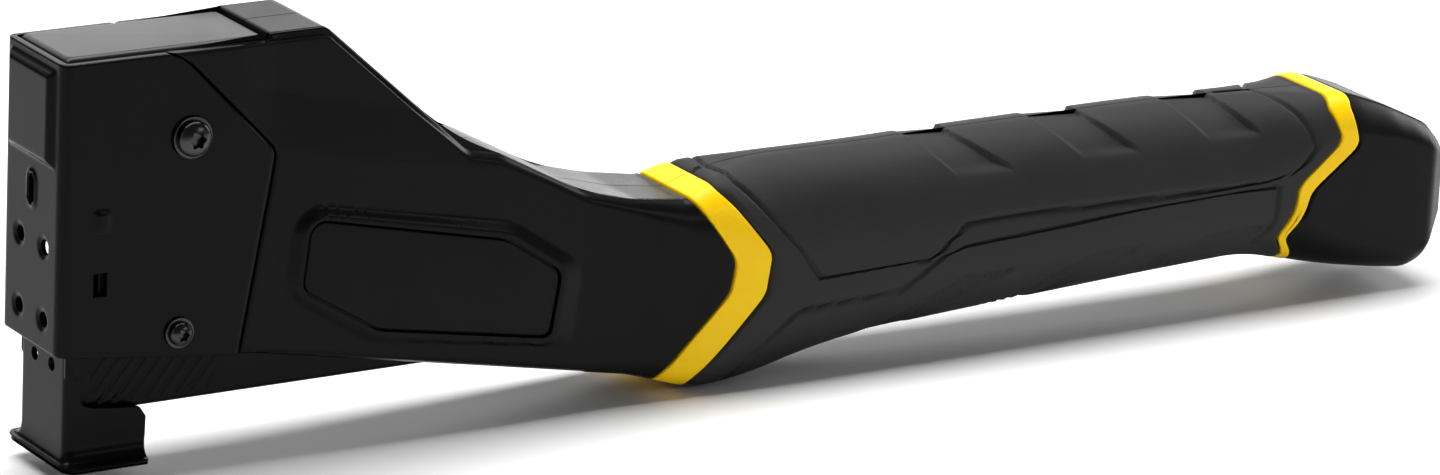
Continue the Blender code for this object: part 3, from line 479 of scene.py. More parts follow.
def shifted(line, distance):
    return [(x + distance, z) for x, z in line]


SHELL_REAR = [(24.3, 100), (24.3, 89.9), (28.4, 88.4), (50.5, 66), (49.8, 60.8), (42.8, 21.3), (42.6, 10)]


def panel_corners():
    corners = [
        (-5.6, 34), (-4.1, 47.4), (-1.3, 49.6), (45.3, 39.5), (59.1, 30.4), (56.7, 15.2), (13.3, 22.7),
    ]
    return [(X_CREST_END + x, z) for x, z in corners]


def pad_corners():
    corners = [(-9.2, 33.2), (-7.4, 49.2), (-2.4, 52.4), (46.7, 43), (65, 31), (62.6, 12.2), (11.5, 20.2)]
    return [(X_CREST_END + x, z) for x, z in corners]


# ---------------------------------------------------------------- housing, bands, grips, butt

def housing_relief(points, *_):
    """The pad round the side panel with the panel's seat, and the lean above the side's crease."""
    x, z = points[:, :, 0], points[:, :, 2]
    flat = ramp(np.abs(points[:, :, 1]), HEAD_HALF - 2.0, HEAD_HALF - 0.6)
    outer = edge_distance(x, z, rounded(pad_corners(), 4))
    inner = edge_distance(x, z, rounded(panel_corners(), 2.5))
    rise = np.clip(outer / np.maximum(outer - inner - 1.2, 1e-6), 0, 1)
    lift = PAD * np.where(inner > -1.2, 1.0, rise) * (outer > 0)
    crease = np.interp(x, (X_COVER_END, 68.7, 107.8, 130), (67.2, 62, 54.7, 47))
    lean = 0.075 * np.clip(z - crease, 0, 12) * (1 - ramp(x, 112, 128)) * ramp(x, 40, 52)
    return (lift - lean) * flat


def housing_front(weights):
    """The cover's rear edge along the top, and the steel shell's rear edge down the side."""
    x = crossing(shifted(SHELL_REAR, GAP), weights)
    on_top = (weights[:, 2] == 1) & (weights[:, 1] == 0)
    return np.where(on_top, X_COVER_END + GAP, x)


def opened(points, side, step, roof):
    """Leave out the magazine's mouth, the room for the shoe's tabs and the cover's seat."""
    x, y, z = points[:, :, 0], np.abs(points[:, :, 1]), points[:, :, 2]
    low = np.arange(points.shape[1]) > points.shape[1] // 2
    mouth = np.where(x < X_SLOPE_END + 6, CAVITY_HALF, SEAM)
    y = np.where(low, np.maximum(y, mouth), y)
    z = np.where(x < 25, np.maximum(z, 38 + step), z)
    beside = np.where(y < COVER_HALF + GAP, roof, COVER_TOP - 0.7)
    z = np.where(x < X_COVER_END + 0.2, np.minimum(z, beside), z)
    return np.stack([x, side * y, z], axis=2)


def housing_half(side, word):
    outer, inner = sleeve(
        side, housing_front, shifted(BAND_A, -GAP), PLAIN, 230, 2.0, 0.8,
        housing_relief, before=(10.0, 1.8), after=(X_CORE_END, 2.2),
    )
    x, y, z = inner[:, :, 0], np.abs(inner[:, :, 1]), inner[:, :, 2]
    y = np.minimum(y, CAVITY_HALF + 20 * ramp(x, X_SLOPE_END + 20, X_SLOPE_END + 40))
    places = (X_CREST_END - 3, X_SLOPE_END - 3.5, X_SLOPE_END + 7, X_SLOPE_END + 29)
    top = np.interp(x, places, (CAVITY_TOP, 57, 55.4, 43))
    z = np.where(x < X_SLOPE_END + 29, np.minimum(z, top), z)
    inner = opened(np.stack([x, y, z], axis=2), side, 2.0, CAVITY_TOP)
    outer = opened(outer, side, 0.0, z_of("top_cap", 0) - GAP)
    edge = base_z(outer[:, :, 0]) + 0.48 * np.maximum(np.abs(outer[:, :, 1]) - HEAD_HALF + 2.5, 0)
    clipped = (outer[:, :, 0] > 25) & (outer[:, :, 0] < X_BAND - 25)
    outer[:, :, 2] = np.where(clipped, np.maximum(outer[:, :, 2], edge), outer[:, :, 2])
    piece = walled(word + "_housing_skin", outer, inner, 1, 32)
    tools = [panel_cutter(side)]
    if side > 0:
        for node in ("housing_screw_front", "housing_screw_middle"):
            x, z = middle_of(node)
            tools.append(round_cutter("y", (x, half_of(node) + 7.8, z), 2.7, 20))
    cut(piece, tools, 32)
    dress(piece, BLACK_PLASTIC, "black_plastic", "housing", word + "_housing")
    return piece


def panel_cutter(side):
    seat = HEAD_HALF + PAD - 1.6
    outline = rounded(panel_corners(), 2.5)
    return rings("cutter", [[(a, side * y, b) for a, b in outline] for y in (seat, seat + 20)])


def bands():
    for side, word in ((-1, "left"), (1, "right")):
        for where, front, rear in (("front", BAND_A, BAND_B), ("rear", BAND_C, BAND_D)):
            outer, inner = sleeve(side, front, rear, FINE, 14, 1.7, 0.5)
            piece = walled(f"{where}_band_{word}_skin", outer, inner)
            dress(piece, YELLOW, "band_yellow", "housing", f"{where}_band_{word}")


def on_surface(points, line):
    """A line of (x, z) points as (x, distance round the section) on one side's grid."""
    step = np.linalg.norm(np.diff(points, axis=1), axis=2)
    round_way = np.concatenate([np.zeros((len(points), 1)), np.cumsum(step, axis=1)], axis=1)
    result = []
    for x, z in line:
        row = np.argmin(np.abs(points[:, points.shape[1] // 2, 0] - x))
        order = -points[row, :, 2]
        result.append((x, np.interp(-z, order, round_way[row])))
    return round_way, result


GROOVES = (
    ((161, 46.3), (163.5, 46), (166, 45), (167.8, 43.5), (187.9, 20.7), (216.5, 21.2), (225.7, 28.4),
     (235.1, 29.1), (317.8, 30.9), (324.2, 36.4), (321, 43), (314, 45.5), (305, 46.2)),
    ((160, -8), (170.8, 3), (182.3, 12.5), (210, 14.2), (226, 23.2), (313.7, 26.4), (313.5, 18.1),
     (309, 12.5)),
)
BAYS = ((216.5, 225.0, 226.5, 239.5), (250.6, 259.8, 263.4, 274.6), (287.5, 294.9, 300.2, 309.0))
RIBS = ((221.3, 9.5, 13.2, 6.8), (256.7, 11.1, 14.1, 5.8), (294.5, 13.6, 11.0, 3.6))


def grip_relief(points, ahead, *_):
    """Grooves, the recesses along the top and the groups of slanting ribs."""
    x, z = points[:, :, 0], points[:, :, 2]
    scale = GRIP_SCALE
    lift = np.zeros(x.shape)
    for groove in GROOVES:
        line = [(X_BAND + 7 + (a - X_BAND - 7) * scale, b) for a, b in groove]
        round_way, path = on_surface(points, line)
        distance = line_distance(x, round_way, path)
        lift -= 0.75 * (1 - ramp(distance, 0.25, 0.85))
    for front_top, front_low, rear_top, rear_low in BAYS:
        front = front_top + (48 - z) / 8.5 * (front_low - front_top)
        rear = rear_top + (48 - z) / 8.5 * (rear_low - rear_top)
        share = np.clip((x - front) / (rear - front), 0, 1)
        inside = ramp(x, front - 0.35, front + 0.35) * (1 - ramp(x, rear - 0.3, rear + 0.3))
        lift -= (0.3 + 0.7 * share) * inside * ramp(z, 38.3, 41)
    for low_x, low_z, run, rise in RIBS:
        for k in range(-2, 3):
            start = (low_x + 2.7 * k - run, low_z - rise)
            end = (low_x + 2.7 * k + run, low_z - 0.1 * k + rise)
            distance = segment_distance(x, z, start, end)
            lift -= 0.55 * (1 - ramp(distance, 0.2, 0.75)) * (1 - ramp(z, low_z + rise - 0.6, low_z + rise))
    lift -= 0.5 * rolled_step(ahead, 2.2)
    return lift


def rolled_step(distance, width):
    return 1 - ramp(distance, 0, width)


GRIP_SCALE = (X_REAR_BAND - X_BAND - 7) / 164.0


def grips():
    for side, word in ((-1, "left"), (1, "right")):
        outer, inner = sleeve(
            side, shifted(BAND_B, GAP), shifted(BAND_C, -GAP), FINE, 370, 1.8, 0.9, grip_relief,
        )
        piece = walled(word + "_grip_skin", outer, inner, 6, 50)
        dress(piece, RUBBER, "grip_rubber", "housing", word + "_grip")


def butt():
    """The cap at the end: one cup round both halves, open at the back for the loading plug."""
    weights = half_section((0, 0.1, 0.25, 0.4, 0.6, 0.8, 0.9, 1), 18, 26, (0, 0.2, 0.4, 0.6, 0.8, 1), 0.55)
    front = shifted(BAND_D, GAP)
    first = crossing(front, weights)
    xs = [first + d for d in (0, 0.1, 0.25, 0.45, 0.7, 1.0)]
    xs += [first + 1 + (X_END - 0.01 - first - 1) * t for t in np.linspace(0, 1, 80)[1:]]
    x = np.array(xs)
    left = skin(x, weights, -1)
    normal = normals_of(left)
    fall = rolled(x - first, 0.9) + 0.9 * ramp(x - (X_END - 0.9), 0, 0.9) ** 2
    left_outer = left - normal * fall[:, :, None]
    reach = X_CORE_END + GAP - first
    left_inner = skin(first + reach * np.linspace(0, 1, 30)[:, None], weights, -1, 1.9)
    loops = []
    for grid in (left_inner[::-1], left_outer):
        for row in grid:
            near = row.copy()
            near[0, 1] = near[-1, 1] = 0
            far = near[-2:0:-1] * (1, -1, 1)
            loops.append(np.concatenate([near, far]))
    piece = rings("butt_cap_skin", loops, 34)
    mouth = box_cutter(
        (X_CORE_END - 6, X_END + 20), (-SHEATH_HALF - 0.9, SHEATH_HALF + 0.9),
        (z_of("loading_plug", 0) - 3.2, z_of("loading_plug", 1) + 0.9),
    )
    cut(piece, [mouth], 34)
    dress(piece, BUTT_PLASTIC, "black_plastic", "housing", "butt_cap")


def slab(name, outline, across, inside_y, outside_y, radius, sharp=38, steps=5):
    """A plate with a rounded outer rim; outline gives (x, z) points, across -1 or 1 its side."""
    outline = np.array(outline)
    before = np.roll(outline, 1, axis=0)
    after = np.roll(outline, -1, axis=0)
    way = after - before
    way /= np.linalg.norm(way, axis=1, keepdims=True)
    inward = np.stack([way[:, 1], -way[:, 0]], axis=1)
    centre = outline.mean(axis=0)
    if np.sum(inward * (centre - outline)) < 0:
        inward = -inward
    loops = [(0, inside_y), (0, outside_y - radius)]
    for k in range(1, steps + 1):
        angle = k / steps * math.pi / 2
        loops.append((radius * (1 - math.cos(angle)), outside_y - radius * (1 - math.sin(angle))))
    result = []
    for inset, y in loops:
        ring = outline + inward * inset
        result.append([(a, across * y, b) for a, b in ring])
    return rings(name, result, sharp)


def side_panels():
    for side, word in ((-1, "left"), (1, "right")):
        low, high = sorted(abs(corner[1]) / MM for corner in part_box(word + "_side_panel"))
        outline = rounded(shrunk(panel_corners(), 0.55), 2.3)
        piece = slab(word + "_panel_face", outline, side, low, high, 0.35)
        dress(piece, PANEL, "panel_black", "housing", word + "_side_panel")


def shrunk(outline, amount):
    outline = np.array(outline, float)
    result = []
    for before, corner, after in zip(np.roll(outline, 1, axis=0), outline, np.roll(outline, -1, axis=0)):
        a = (corner - before) / np.linalg.norm(corner - before)
        b = (after - corner) / np.linalg.norm(after - corner)
        inward = np.array([a[1] + b[1], -(a[0] + b[0])])
        inward /= max(1 + float(a @ b), 0.3)
        if (outline.mean(axis=0) - corner) @ inward < 0:
            inward = -inward
        result.append(tuple(corner + inward * amount))
    return result


# ---------------------------------------------------------------- steel head

def folded(front, half, radius, heights, rear_at, sides, arcs, flats):
    """Outside of a sheet folded round the front: a row for each height, from left rear to right."""
    turn = np.linspace(0, math.pi / 2, arcs)[1:-1]
    rows = []
    for z in heights:
        rear = rear_at(z)
        corner = front + radius
        left = [(corner + (rear - corner) * f, -half) for f in np.linspace(1, 0, sides)]
        left += [(corner - radius * math.sin(a), -half + radius * (1 - math.cos(a))) for a in turn]
        middle = [(front, y) for y in np.linspace(-half + radius, half - radius, flats)]
        row = left + middle + [(x, -y) for x, y in left[::-1]]
        rows.append([(x, y, z) for x, y in row])
    return np.array(rows)


def sheet_normals(grid):
    normal = np.cross(np.gradient(grid, axis=0), np.gradient(grid, axis=1))
    normal /= np.maximum(np.linalg.norm(normal, axis=2, keepdims=True), 1e-9)
    middle = normal[grid.shape[0] // 2, grid.shape[1] // 2]
    return -normal if middle[0] > 0 else normal


HOLES = [(y, z) for y in (-5.6, 5.6) for z in (32.8, 48.6)]


def head_shell():
    bottom = z_of("head_shell", 0) + 5.0
    top = z_of("head_shell", 1)
    heights = np.concatenate([
        bottom + np.array([0, 0.08, 0.2, 0.4]), np.linspace(bottom + 0.7, top - 0.6, 128),
        top - np.array([0.35, 0.15, 0.05, 0]),
    ])

    def rear_at(z):
        slant = 0.117 * (top - z) / (top - bottom)
        x = 40.0
        for _ in range(30):
            level = z - slant * x
            target = float(line_x(SHELL_REAR, np.float64(level)))
            if level >= 88:
                target = 29.0 - 4.7 * (level - 88) / 1.9
            x = 0.5 * (x + target)
        return x

    grid = folded(0, HEAD_HALF, 2.3, heights, rear_at, 60, 9, 60)
    x, y, z = grid[:, :, 0], grid[:, :, 1], grid[:, :, 2]
    share = (z - bottom) / (top - bottom)
    z = z - 0.117 * x * (1 - share)
    grid[:, :, 2] = z
    normal = sheet_normals(grid)
    lift = np.zeros(x.shape)
    on_front = x < 0.3
    boss = np.minimum(10.6 - np.abs(y), np.minimum(z - 66.6, 88.4 - z))
    lift += np.where(on_front, BOSS * ramp(boss, 0, 2.2), 0)
    for hy, hz in HOLES:
        lift -= np.where(on_front, 0.45 * (1 - ramp(np.hypot(y - hy, z - hz), 1.7, 2.7)), 0)
    slot = np.hypot(y, np.maximum(np.abs(z - 60.1) - 1.8, 0))
    lift += np.where(on_front, 0.4 * ramp(slot, 1.2, 1.7) * (1 - ramp(slot, 1.9, 2.6)), 0)
    on_side = x > 3
    lance = np.maximum(np.abs(x - 9.5) / 1.7, np.abs(z - 55.2) / 2.4)
    lift += np.where(on_side, 0.45 * (1 - ramp(lance, 0.75, 1.05)), 0)
    rear = np.array([[rear_at(v)] for v in heights])
    fall = rolled(share * (top - bottom), 0.5) + rolled((1 - share) * (top - bottom), 0.4)
    fall += np.where(on_side, rolled(np.clip(rear - x, 0, None), 0.45), 0)
    outer = grid + normal * (lift - fall)[:, :, None]
    inner = grid - normal * 1.5
    piece = walled("head_shell_skin", outer, inner, 1, 34)
    tools = [round_cutter("x", (0, hy, hz), 1.75, 10) for hy, hz in HOLES]
    tools.append(round_cutter("x", (0, 0, 60.1), 1.3, 10, tall=1.9))
    tools.append(box_cutter((7.9, 11.2), (-30, 30), (38.8, 44.0)))
    cut(piece, tools, 34)
    dress(piece, PAINTED, "painted_steel", "housing", "head_shell")


def top_cap():
    x0, x1 = x_of("top_cap", 0), x_of("top_cap", 1)
    outline = rounded([(x0, -COVER_HALF), (x1, -COVER_HALF), (x1, COVER_HALF), (x0, COVER_HALF)], 1.2, 6)
    rim = [(0, z_of("top_cap", 0)), (0, COVER_TOP - 1.5)]
    for angle in np.linspace(0.1, math.pi / 2, 8):
        rim.append((1.5 * (1 - math.cos(angle)), COVER_TOP - 1.5 * (1 - math.sin(angle))))
    middle = np.array([(x0 + x1) / 2, 0])
    size = np.array([(x1 - x0) / 2, COVER_HALF])
    loops = []
    for inset, z in rim:
        scale = (size - inset) / size
        loops.append([(*(middle + (p - middle) * scale), z) for p in outline])
    piece = rings("top_cap_skin", loops, 40)
    dress(piece, COVER_PAINT, "painted_steel", "housing", "top_cap")


def nose_shoe():
    """The folded nose: front plate and wings, tabs, and a lip that flares out all round."""
    half = half_of("nose_block") + 1.5
    front, top = 3.4, z_of("nose_shoe", 1)
    lip_top, fillet = 1.9, 4.2
    heights = np.concatenate([
        np.linspace(top, 15.4, 34), np.linspace(15.2, 11.6, 34), np.linspace(11.4, lip_top + fillet, 22),
    ])

    def rear_at(z):
        zs = (0, 2.8, 10.1, 12.2, 13.0, 13.5, 14.2, 15.4, 40)
        xs = (21.4, 22.2, 22.4, 21.0, 13.0, 9.4, 7.6, 6.8, 6.8)
        return float(np.interp(z, zs, xs))

    grid = folded(front, half, 1.8, heights, rear_at, 44, 9, 44)
    turn = np.concatenate([np.zeros(44), np.linspace(0, math.pi / 2, 9)[1:-1], np.full(22, math.pi / 2)])
    turn = np.concatenate([turn, turn[::-1]])
    sign = np.where(np.arange(len(turn)) < len(turn) // 2, -1, 1)
    reach = np.stack([-1.5 * np.sqrt(np.sin(turn)), sign * 4.1 * np.sqrt(np.cos(turn)), 0 * turn], axis=1)
    last = grid[-1]
    extra = []
    for angle in np.linspace(0, math.pi / 2, 9)[1:]:
        row = last + reach * 0.7 * (1 - math.cos(angle)) ** 1.2
        row[:, 2] = lip_top + fillet * (1 - math.sin(angle))
        extra.append(row)
    for share in (0.78, 0.85, 0.92, 0.97, 1.0):
        row = last + reach * share
        row[:, 2] = lip_top - 0.35 * max(share - 0.92, 0) / 0.08
        extra.append(row)
    for k, row in enumerate(extra):
        behind = np.maximum(row[:, 0] - 12, 0)
        row[:, 0] -= behind * 0.12 * (k + 1) / len(extra)
    grid = np.concatenate([grid, np.array(extra)])
    normal = sheet_normals(grid)
    bulge = 0.9 * ramp(grid[:, :, 2], 20.0, 21.5) * (np.abs(normal[:, :, 1]) > 0.5)
    outer = grid + normal * (bulge * 0.4)[:, :, None]
    inner = grid - normal * 1.35
    inner[:, :, 2] = np.maximum(inner[:, :, 2], 0.05)
    piece = walled("nose_shoe_skin", outer, inner, 1, 34)
    tools = [round_cutter("x", (front, y, top - 7.4), 1.5, 8) for y in (-3.9, 3.9)]
    cut(piece, tools, 34)
    dress(piece, PAINTED, "painted_steel", "magazine", "nose_shoe")


def sheath():
    """The channel's outer sheet with slanting ribs pressed into its sides."""
    x0, x1 = x_of("magazine_sheath", 0), x_of("magazine_sheath", 1)
    low, high = z_of("magazine_sheath", 0), z_of("magazine_sheath", 1)
    arc = np.linspace(0, math.pi / 2, 6)[1:-1]
    near = [(-SHEATH_HALF, z) for z in np.linspace(high, low + 1, 34)]
    near += [(-SHEATH_HALF + 1 - math.cos(a), low + 1 - math.sin(a)) for a in arc]
    base = [(y, low) for y in np.linspace(-SHEATH_HALF + 1, SHEATH_HALF - 1, 15)]
    loop = near + base + [(-y, z) for y, z in near[::-1]]
    xs = np.linspace(x0, x1, 260)
    grid = np.array([[(x, y, z) for y, z in loop] for x in xs])
    normal = np.cross(np.gradient(grid, axis=0), np.gradient(grid, axis=1))
    normal /= np.linalg.norm(normal, axis=2, keepdims=True)
    if normal[100, 3, 1] > 0:
        normal = -normal
    x, y, z = grid[:, :, 0], grid[:, :, 1], grid[:, :, 2]
    slant = x - 0.8 * z
    wave = np.abs((slant / 3.6) % 1 - 0.5) * 2
    zone = ramp(x, 9, 11) * (1 - ramp(x, 39, 42))
    zone = zone * ramp(z, low + 1.6, low + 2.4) * (1 - ramp(z, high - 1.2, high - 0.5))
    lift = -0.22 * (1 - ramp(wave, 0.1, 0.4)) * zone * (np.abs(normal[:, :, 1]) > 0.9)
    outer = grid + normal * lift[:, :, None]
    piece = walled("magazine_sheath_skin", outer, grid - normal * 1.2, 5, 40)
    dress(piece, PAINTED, "painted_steel", "magazine", "magazine_sheath")


# ---------------------------------------------------------------- screws and plug

def turned(name, profile, place, axis, sharp=38, steps=40):
    """A profile of (radius, height) pairs turned about axis at place, closed at both ends."""
    turn = Vector((0, 0, 1)).rotation_difference(Vector(axis)).to_matrix()
    loops = []
    for radius, height in profile:
        loop = []
        for k in range(steps):
            angle = 2 * math.pi * k / steps
            local = Vector((radius * math.cos(angle), radius * math.sin(angle), height))
            loop.append(Vector(place) + turn @ local)
        loops.append(loop)
    return rings(name, loops, sharp)


def dome(radius, height, rim, shank, length, base):
    """Half the outline of a round-headed screw, from the crown to the tip."""
    outline = [(radius * 0.02, height)]
    for k in range(1, 10):
        angle = k / 10 * math.pi / 2
        outline.append((radius * math.sin(angle), rim + (height - rim) * math.cos(angle)))
    outline += [(radius, rim), (radius, base), (radius + 0.6, base), (radius + 0.7, base - 0.15)]
    outline += [(radius + 0.7, 0)]
    return outline + [(shank, 0), (shank, -length)]


def torx_cutter(place, side, size, depth):
    """A six-lobed bar that sinks into a screw's head."""
    loops = []
    for height in (-depth, 4):
        loop = []
        for k in range(72):
            angle = 2 * math.pi * k / 72
            radius = size * (1 + 0.16 * math.cos(6 * angle))
            x = place[0] + radius * math.cos(angle)
            z = place[2] + radius * math.sin(angle)
            loop.append((x, place[1] + side * height, z))
        loops.append(loop)
    return rings("cutter", loops)


def screws():
    x, z = HEAD_SCREW
    y = -HEAD_HALF - GAP
    outline = dome(3.9, 3.0, 1.1, 1.9, 2 * HEAD_HALF + 2.4, 0.5)
    head = turned("head_screw_detail", outline, (x, y, z), (0, -1, 0))
    cut(head, [torx_cutter((x, y - 3.0, z), -1, 1.75, 1.7)], 34)
    dress(head, SCREW, "black_screw_steel", "housing", "head_screw")
    x, z = LOWER_SCREW
    outline = dome(2.7, 2.4, 0.8, 1.5, 3.6, 0.4)
    for side, word in ((-1, "left"), (1, "right")):
        place = (x, side * (HEAD_HALF + GAP), z)
        screw = turned(f"lower_screw_{word}_detail", outline, place, (0, side, 0))
        cut(screw, [torx_cutter((x, side * (HEAD_HALF + GAP + 2.4), z), side, 1.25, 1.3)], 34)
        dress(screw, SCREW, "black_screw_steel", "housing", f"lower_screw_{word}")


def plug():
    """The pull-out block at the end, with a hollow for the rod's nut and a rounded end."""
    x0, x1 = x_of("loading_plug", 0), x_of("loading_plug", 1)
    start = x1 - 17.0
    low, high = z_of("loading_plug", 0), z_of("loading_plug", 1)
    half = half_of("loading_plug")

    def loop(x, inset, half_y, base, roof):
        corners = rounded([(-half_y, base), (half_y, base), (half_y, roof), (-half_y, roof)], 1.6, 5)
        middle = np.array([0, (base + roof) / 2])
        size = np.array([half_y, (roof - base) / 2])
        scale = (size - inset) / size
        return [(x, *(middle + (p - middle) * scale)) for p in corners]

    inner = CHANNEL_HALF - 1.6
    spigot = (inner, z_of("feed_rail", 0), z_of("magazine_channel", 1) - GAP)
    body = (half, low, high)
    loops = [loop(x0, 0.6, *spigot), loop(x0 + 0.6, 0, *spigot), loop(start, 0, *spigot)]
    loops += [loop(start, 0.4, *body), loop(start + 0.4, 0, *body)]
    for k in range(1, 5):
        groove = 0.5 if k % 2 else 0
        loops += [loop(start + 2.2 + 2 * k, groove, *body), loop(start + 3.4 + 2 * k, groove, *body)]
    loops.append(loop(x1 - 1.4, 0, *body))
    for angle in np.linspace(0.2, math.pi / 2, 6):
        loops.append(loop(x1 - 1.4 + 1.4 * math.sin(angle), 1.4 * (1 - math.cos(angle)), *body))
    piece = rings("loading_plug_detail", loops, 34)
    z = (z_of("guide_rod", 0) + z_of("guide_rod", 1)) / 2
    nut = x_of("rod_nut", 0)
    tools = [
        round_cutter("x", ((nut - GAP + x1 + 20) / 2, 0, z), 4.4, x1 + 20 - nut + GAP, steps=40),
        round_cutter("x", ((x0 + x1) / 2, 0, z), 1.8, x1 - x0 + 20),
    ]
    cut(piece, tools, 34)
    dress(piece, BUTT_PLASTIC, "black_plastic", "loading_rod", "loading_plug")


def coil(name, radius, wire, turns, start, end, body, node):
    """A round-wire spring, wound at an even pitch from start to end."""
    start, end = Vector(start), Vector(end)
    way = (end - start).normalized()
    side = way.orthogonal().normalized()
    across = way.cross(side)
    curve = bpy.data.curves.new(name, "CURVE")
    curve.dimensions = "3D"
    curve.bevel_depth = wire / 2
    curve.bevel_resolution = 3
    curve.use_fill_caps = True
    spline = curve.splines.new("POLY")
    per_turn = 18
    spline.points.add(turns * per_turn)
    for i, point in enumerate(spline.points):
        t = i / (turns * per_turn)
        angle = 2 * math.pi * i / per_turn
        place = start.lerp(end, t) + (side * math.cos(angle) + across * math.sin(angle)) * radius
        point.co = (*place, 1.0)
    wound = bpy.data.objects.new(name, curve)
    bpy.context.scene.collection.objects.link(wound)
    bpy.context.view_layer.update()
    mesh = bpy.data.meshes.new_from_object(wound.evaluated_get(bpy.context.evaluated_depsgraph_get()))
    bpy.data.objects.remove(wound)
    bm = bmesh.new()
    bm.from_mesh(mesh)
    bmesh.ops.remove_doubles(bm, verts=bm.verts, dist=1e-6)
    bm.to_mesh(mesh)
    bm.free()
    piece = bpy.data.objects.new(name, mesh)
    bpy.context.scene.collection.objects.link(piece)
    dress(piece, SPRING, "spring_steel", body, node)
    return piece


def springs():
    low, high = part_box("pusher_spring")
    y = 0.5 * (low[1] + high[1])
    z = 0.5 * (low[2] + high[2])
    radius = (high[2] - low[2]) / 2 - 0.0003
    near, far = (low[0] + 0.0003, y, z), (high[0] - 0.0003, y, z)
    piece = coil("pusher_spring_wire", radius, 0.0006, 84, near, far, "loading_rod", "pusher_spring")
    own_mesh(piece)
    low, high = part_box("return_spring")
    x = 0.5 * (low[0] + high[0])
    radius = (high[0] - low[0]) / 2 - 0.0007
    near, far = (x, 0, low[2] + 0.0007), (x, 0, high[2] - 0.0007)
    piece = coil("return_spring_wire", radius, 0.0014, 8, near, far, "housing", "return_spring")
    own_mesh(piece)


# ---------------------------------------------------------------- materials

def material(name, dark, light, rough, metallic=0.0, grain=900.0, bump=0.1, mottle=60.0, shine=0.5):
    """A surface whose colour, roughness and fine relief vary by noise in the object's own space."""
    mat = bpy.data.materials.new(name)
    mat.use_nodes = True
    nodes, links = mat.node_tree.nodes, mat.node_tree.links
    shader = nodes["Principled BSDF"]
    shader.inputs["Metallic"].default_value = metallic
    shader.inputs["Specular IOR Level"].default_value = shine
    where = nodes.new("ShaderNodeTexCoord")
    broad = nodes.new("ShaderNodeTexNoise")
    broad.inputs["Scale"].default_value = mottle
    broad.inputs["Detail"].default_value = 5
    links.new(where.outputs["Object"], broad.inputs["Vector"])
    colour = nodes.new("ShaderNodeValToRGB")
    colour.color_ramp.elements[0].position = 0.35
    colour.color_ramp.elements[1].position = 0.65
    colour.color_ramp.elements[0].color = (*dark, 1)
    colour.color_ramp.elements[1].color = (*light, 1)
    links.new(broad.outputs["Fac"], colour.inputs["Fac"])
    links.new(colour.outputs["Color"], shader.inputs["Base Color"])
    spread = nodes.new("ShaderNodeMapRange")
    spread.inputs["From Min"].default_value = 0.3
    spread.inputs["From Max"].default_value = 0.7
    spread.inputs["To Min"].default_value = rough[0]
    spread.inputs["To Max"].default_value = rough[1]
    links.new(broad.outputs["Fac"], spread.inputs["Value"])
    links.new(spread.outputs["Result"], shader.inputs["Roughness"])
    fine = nodes.new("ShaderNodeTexNoise")
    fine.inputs["Scale"].default_value = grain
    fine.inputs["Detail"].default_value = 3
    links.new(where.outputs["Object"], fine.inputs["Vector"])
    relief = nodes.new("ShaderNodeBump")
    relief.inputs["Strength"].default_value = bump
    relief.inputs["Distance"].default_value = 0.0002
    links.new(fine.outputs["Fac"], relief.inputs["Height"])
    links.new(relief.outputs["Normal"], shader.inputs["Normal"])
    return mat


def grey(value, tint=0.0):
    return (value, value, value * (1 + tint))


BLACK_PLASTIC = material(
    "moulded_black", grey(0.0025), grey(0.0035), (0.26, 0.34),
    grain=1500, bump=0.08, shine=0.08,
)
BUTT_PLASTIC = material(
    "moulded_black_satin", grey(0.004), grey(0.0055), (0.32, 0.42),
    grain=1800, bump=0.14, shine=0.08,
)
PANEL = material(
    "grained_black", grey(0.004), grey(0.006), (0.42, 0.5),
    grain=2600, bump=0.3, shine=0.08,
)
RUBBER = material(
    "soft_rubber", grey(0.016), grey(0.021), (0.55, 0.68),
    grain=2600, bump=0.3, shine=0.2,
)
YELLOW = material(
    "yellow_plastic", (0.98, 0.6, 0.0), (1.0, 0.64, 0.0), (0.34, 0.42),
    grain=900, bump=0.05, shine=0.15,
)
PAINTED = material(
    "black_paint_on_steel", grey(0.0025), grey(0.0035), (0.2, 0.27),
    grain=450, bump=0.05, shine=0.07,
)
COVER_PAINT = material(
    "black_paint_on_cover", grey(0.004), grey(0.006), (0.28, 0.34),
    grain=450, bump=0.05, shine=0.25,
)
ZINC = material("cast_zinc_body", grey(0.38), grey(0.48), (0.4, 0.52), metallic=1.0, grain=700, bump=0.25)
BRIGHT = material("drawn_steel", grey(0.5), grey(0.62), (0.22, 0.34), metallic=1.0, grain=1200, bump=0.08)
SPRING = material("spring_wire", grey(0.42), grey(0.55), (0.25, 0.36), metallic=1.0, grain=1500, bump=0.08)
SCREW = material(
    "black_oxide_steel", grey(0.035), grey(0.06), (0.2, 0.3), metallic=1.0, grain=900, bump=0.08,
)

NODE_LOOK = {
    "head_block": ZINC, "nose_block": ZINC, "driver_blade": BRIGHT, "spring_seat": BRIGHT,
    "driver_screw_lower": SCREW, "driver_screw_upper": SCREW, "head_nut": SCREW, "rod_nut": SCREW,
    "housing_screw_front": SCREW, "housing_screw_middle": SCREW, "grip_screw_front": SCREW,
    "grip_screw_rear": SCREW, "magazine_channel": BRIGHT, "feed_rail": BRIGHT, "magazine_lid": BRIGHT,
    "hinge_pin_left": BRIGHT, "hinge_pin_right": BRIGHT, "guide_rod": BRIGHT, "pusher": BRIGHT,
}


def dress(piece, look, slot, body, *nodes):
    piece.data.materials.clear()
    piece.data.materials.append(look)
    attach(piece, body)
    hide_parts(*nodes)


def dress_frame():
    for name, look in NODE_LOOK.items():
        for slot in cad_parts[name].material_slots:
            slot.material = look


# ---------------------------------------------------------------- floor, light, camera

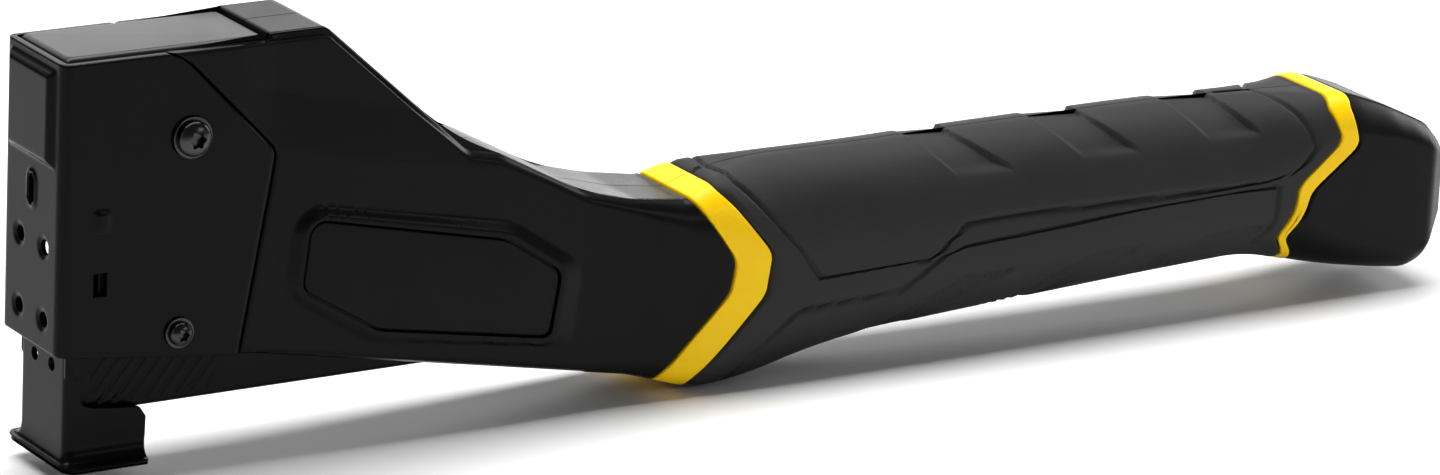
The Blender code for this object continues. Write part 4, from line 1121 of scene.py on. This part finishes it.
def floor():
    size = 6.0
    mesh = bpy.data.meshes.new("floor")
    corners = [(-size, -size, 0), (size, -size, 0), (size, size, 0), (-size, size, 0)]
    mesh.from_pydata(corners, [], [(0, 1, 2, 3)])
    obj = bpy.data.objects.new("floor", mesh)
    obj.location = (0, 0, CAD_BOX[0][2] - 0.0002)
    bpy.context.scene.collection.objects.link(obj)
    pale = material("pale_floor", grey(0.86), grey(0.9), (0.75, 0.85), grain=40, bump=0.0, mottle=2)
    mesh.materials.append(pale)


def area_light(name, place, target, size, power):
    data = bpy.data.lights.new(name, "AREA")
    data.shape = "RECTANGLE"
    data.size, data.size_y = size
    data.energy = power
    obj = bpy.data.objects.new(name, data)
    obj.location = place
    obj.rotation_euler = (Vector(target) - Vector(place)).to_track_quat("-Z", "Y").to_euler()
    bpy.context.scene.collection.objects.link(obj)


def lights():
    middle = (0.15, 0, 0.03)
    area_light("softbox_above", (0.15, 0.25, 1.1), middle, (1.6, 0.7), 26)
    area_light("softbox_behind", (0.3, 1.3, 0.7), middle, (1.6, 0.5), 7)
    area_light("softbox_left", (-1.2, -0.4, 0.45), middle, (0.6, 0.7), 0.6)
    area_light("softbox_right", (1.5, 0.2, 0.4), middle, (0.5, 0.6), 9)
    area_light("softbox_far", (1.0, 1.25, 0.14), middle, (0.9, 0.3), 2.6)
    area_light("softbox_front", (0.9, -1.1, 0.55), middle, (0.5, 0.25), 1.5)
    world = bpy.data.worlds.new("studio")
    world.use_nodes = True
    world.node_tree.nodes["Background"].inputs["Color"].default_value = (1, 1, 1, 1)
    world.node_tree.nodes["Background"].inputs["Strength"].default_value = 0.12
    bpy.context.scene.world = world


def camera():
    """Looks from the head's left front, a little from above."""
    azimuth, elevation, roll = math.radians(-32.874), math.radians(17.51), math.radians(2.895)
    target = Vector((0.1562, 0, 0.02754))
    level = Vector((math.sin(azimuth), -math.cos(azimuth), 0))
    back = level * math.cos(elevation) + Vector((0, 0, math.sin(elevation)))
    right = Vector((math.cos(azimuth), math.sin(azimuth), 0))
    up = back.cross(right)
    right_rolled = math.cos(roll) * right + math.sin(roll) * up
    up_rolled = -math.sin(roll) * right + math.cos(roll) * up
    data = bpy.data.cameras.new("camera")
    data.lens = 175
    data.sensor_width = 36
    data.sensor_fit = "HORIZONTAL"
    obj = bpy.data.objects.new("camera", data)
    turn = Matrix((right_rolled, up_rolled, back)).transposed().to_4x4()
    obj.matrix_world = Matrix.Translation(target + back * 1.5558) @ turn
    bpy.context.scene.collection.objects.link(obj)
    bpy.context.scene.camera = obj


def build():
    for side, word in ((-1, "left"), (1, "right")):
        housing_half(side, word)
    bands()
    grips()
    butt()
    side_panels()
    head_shell()
    top_cap()
    nose_shoe()
    sheath()
    screws()
    plug()
    springs()
    dress_frame()
    floor()
    lights()
    camera()


build()
bpy.context.scene.view_settings.view_transform = "Standard"
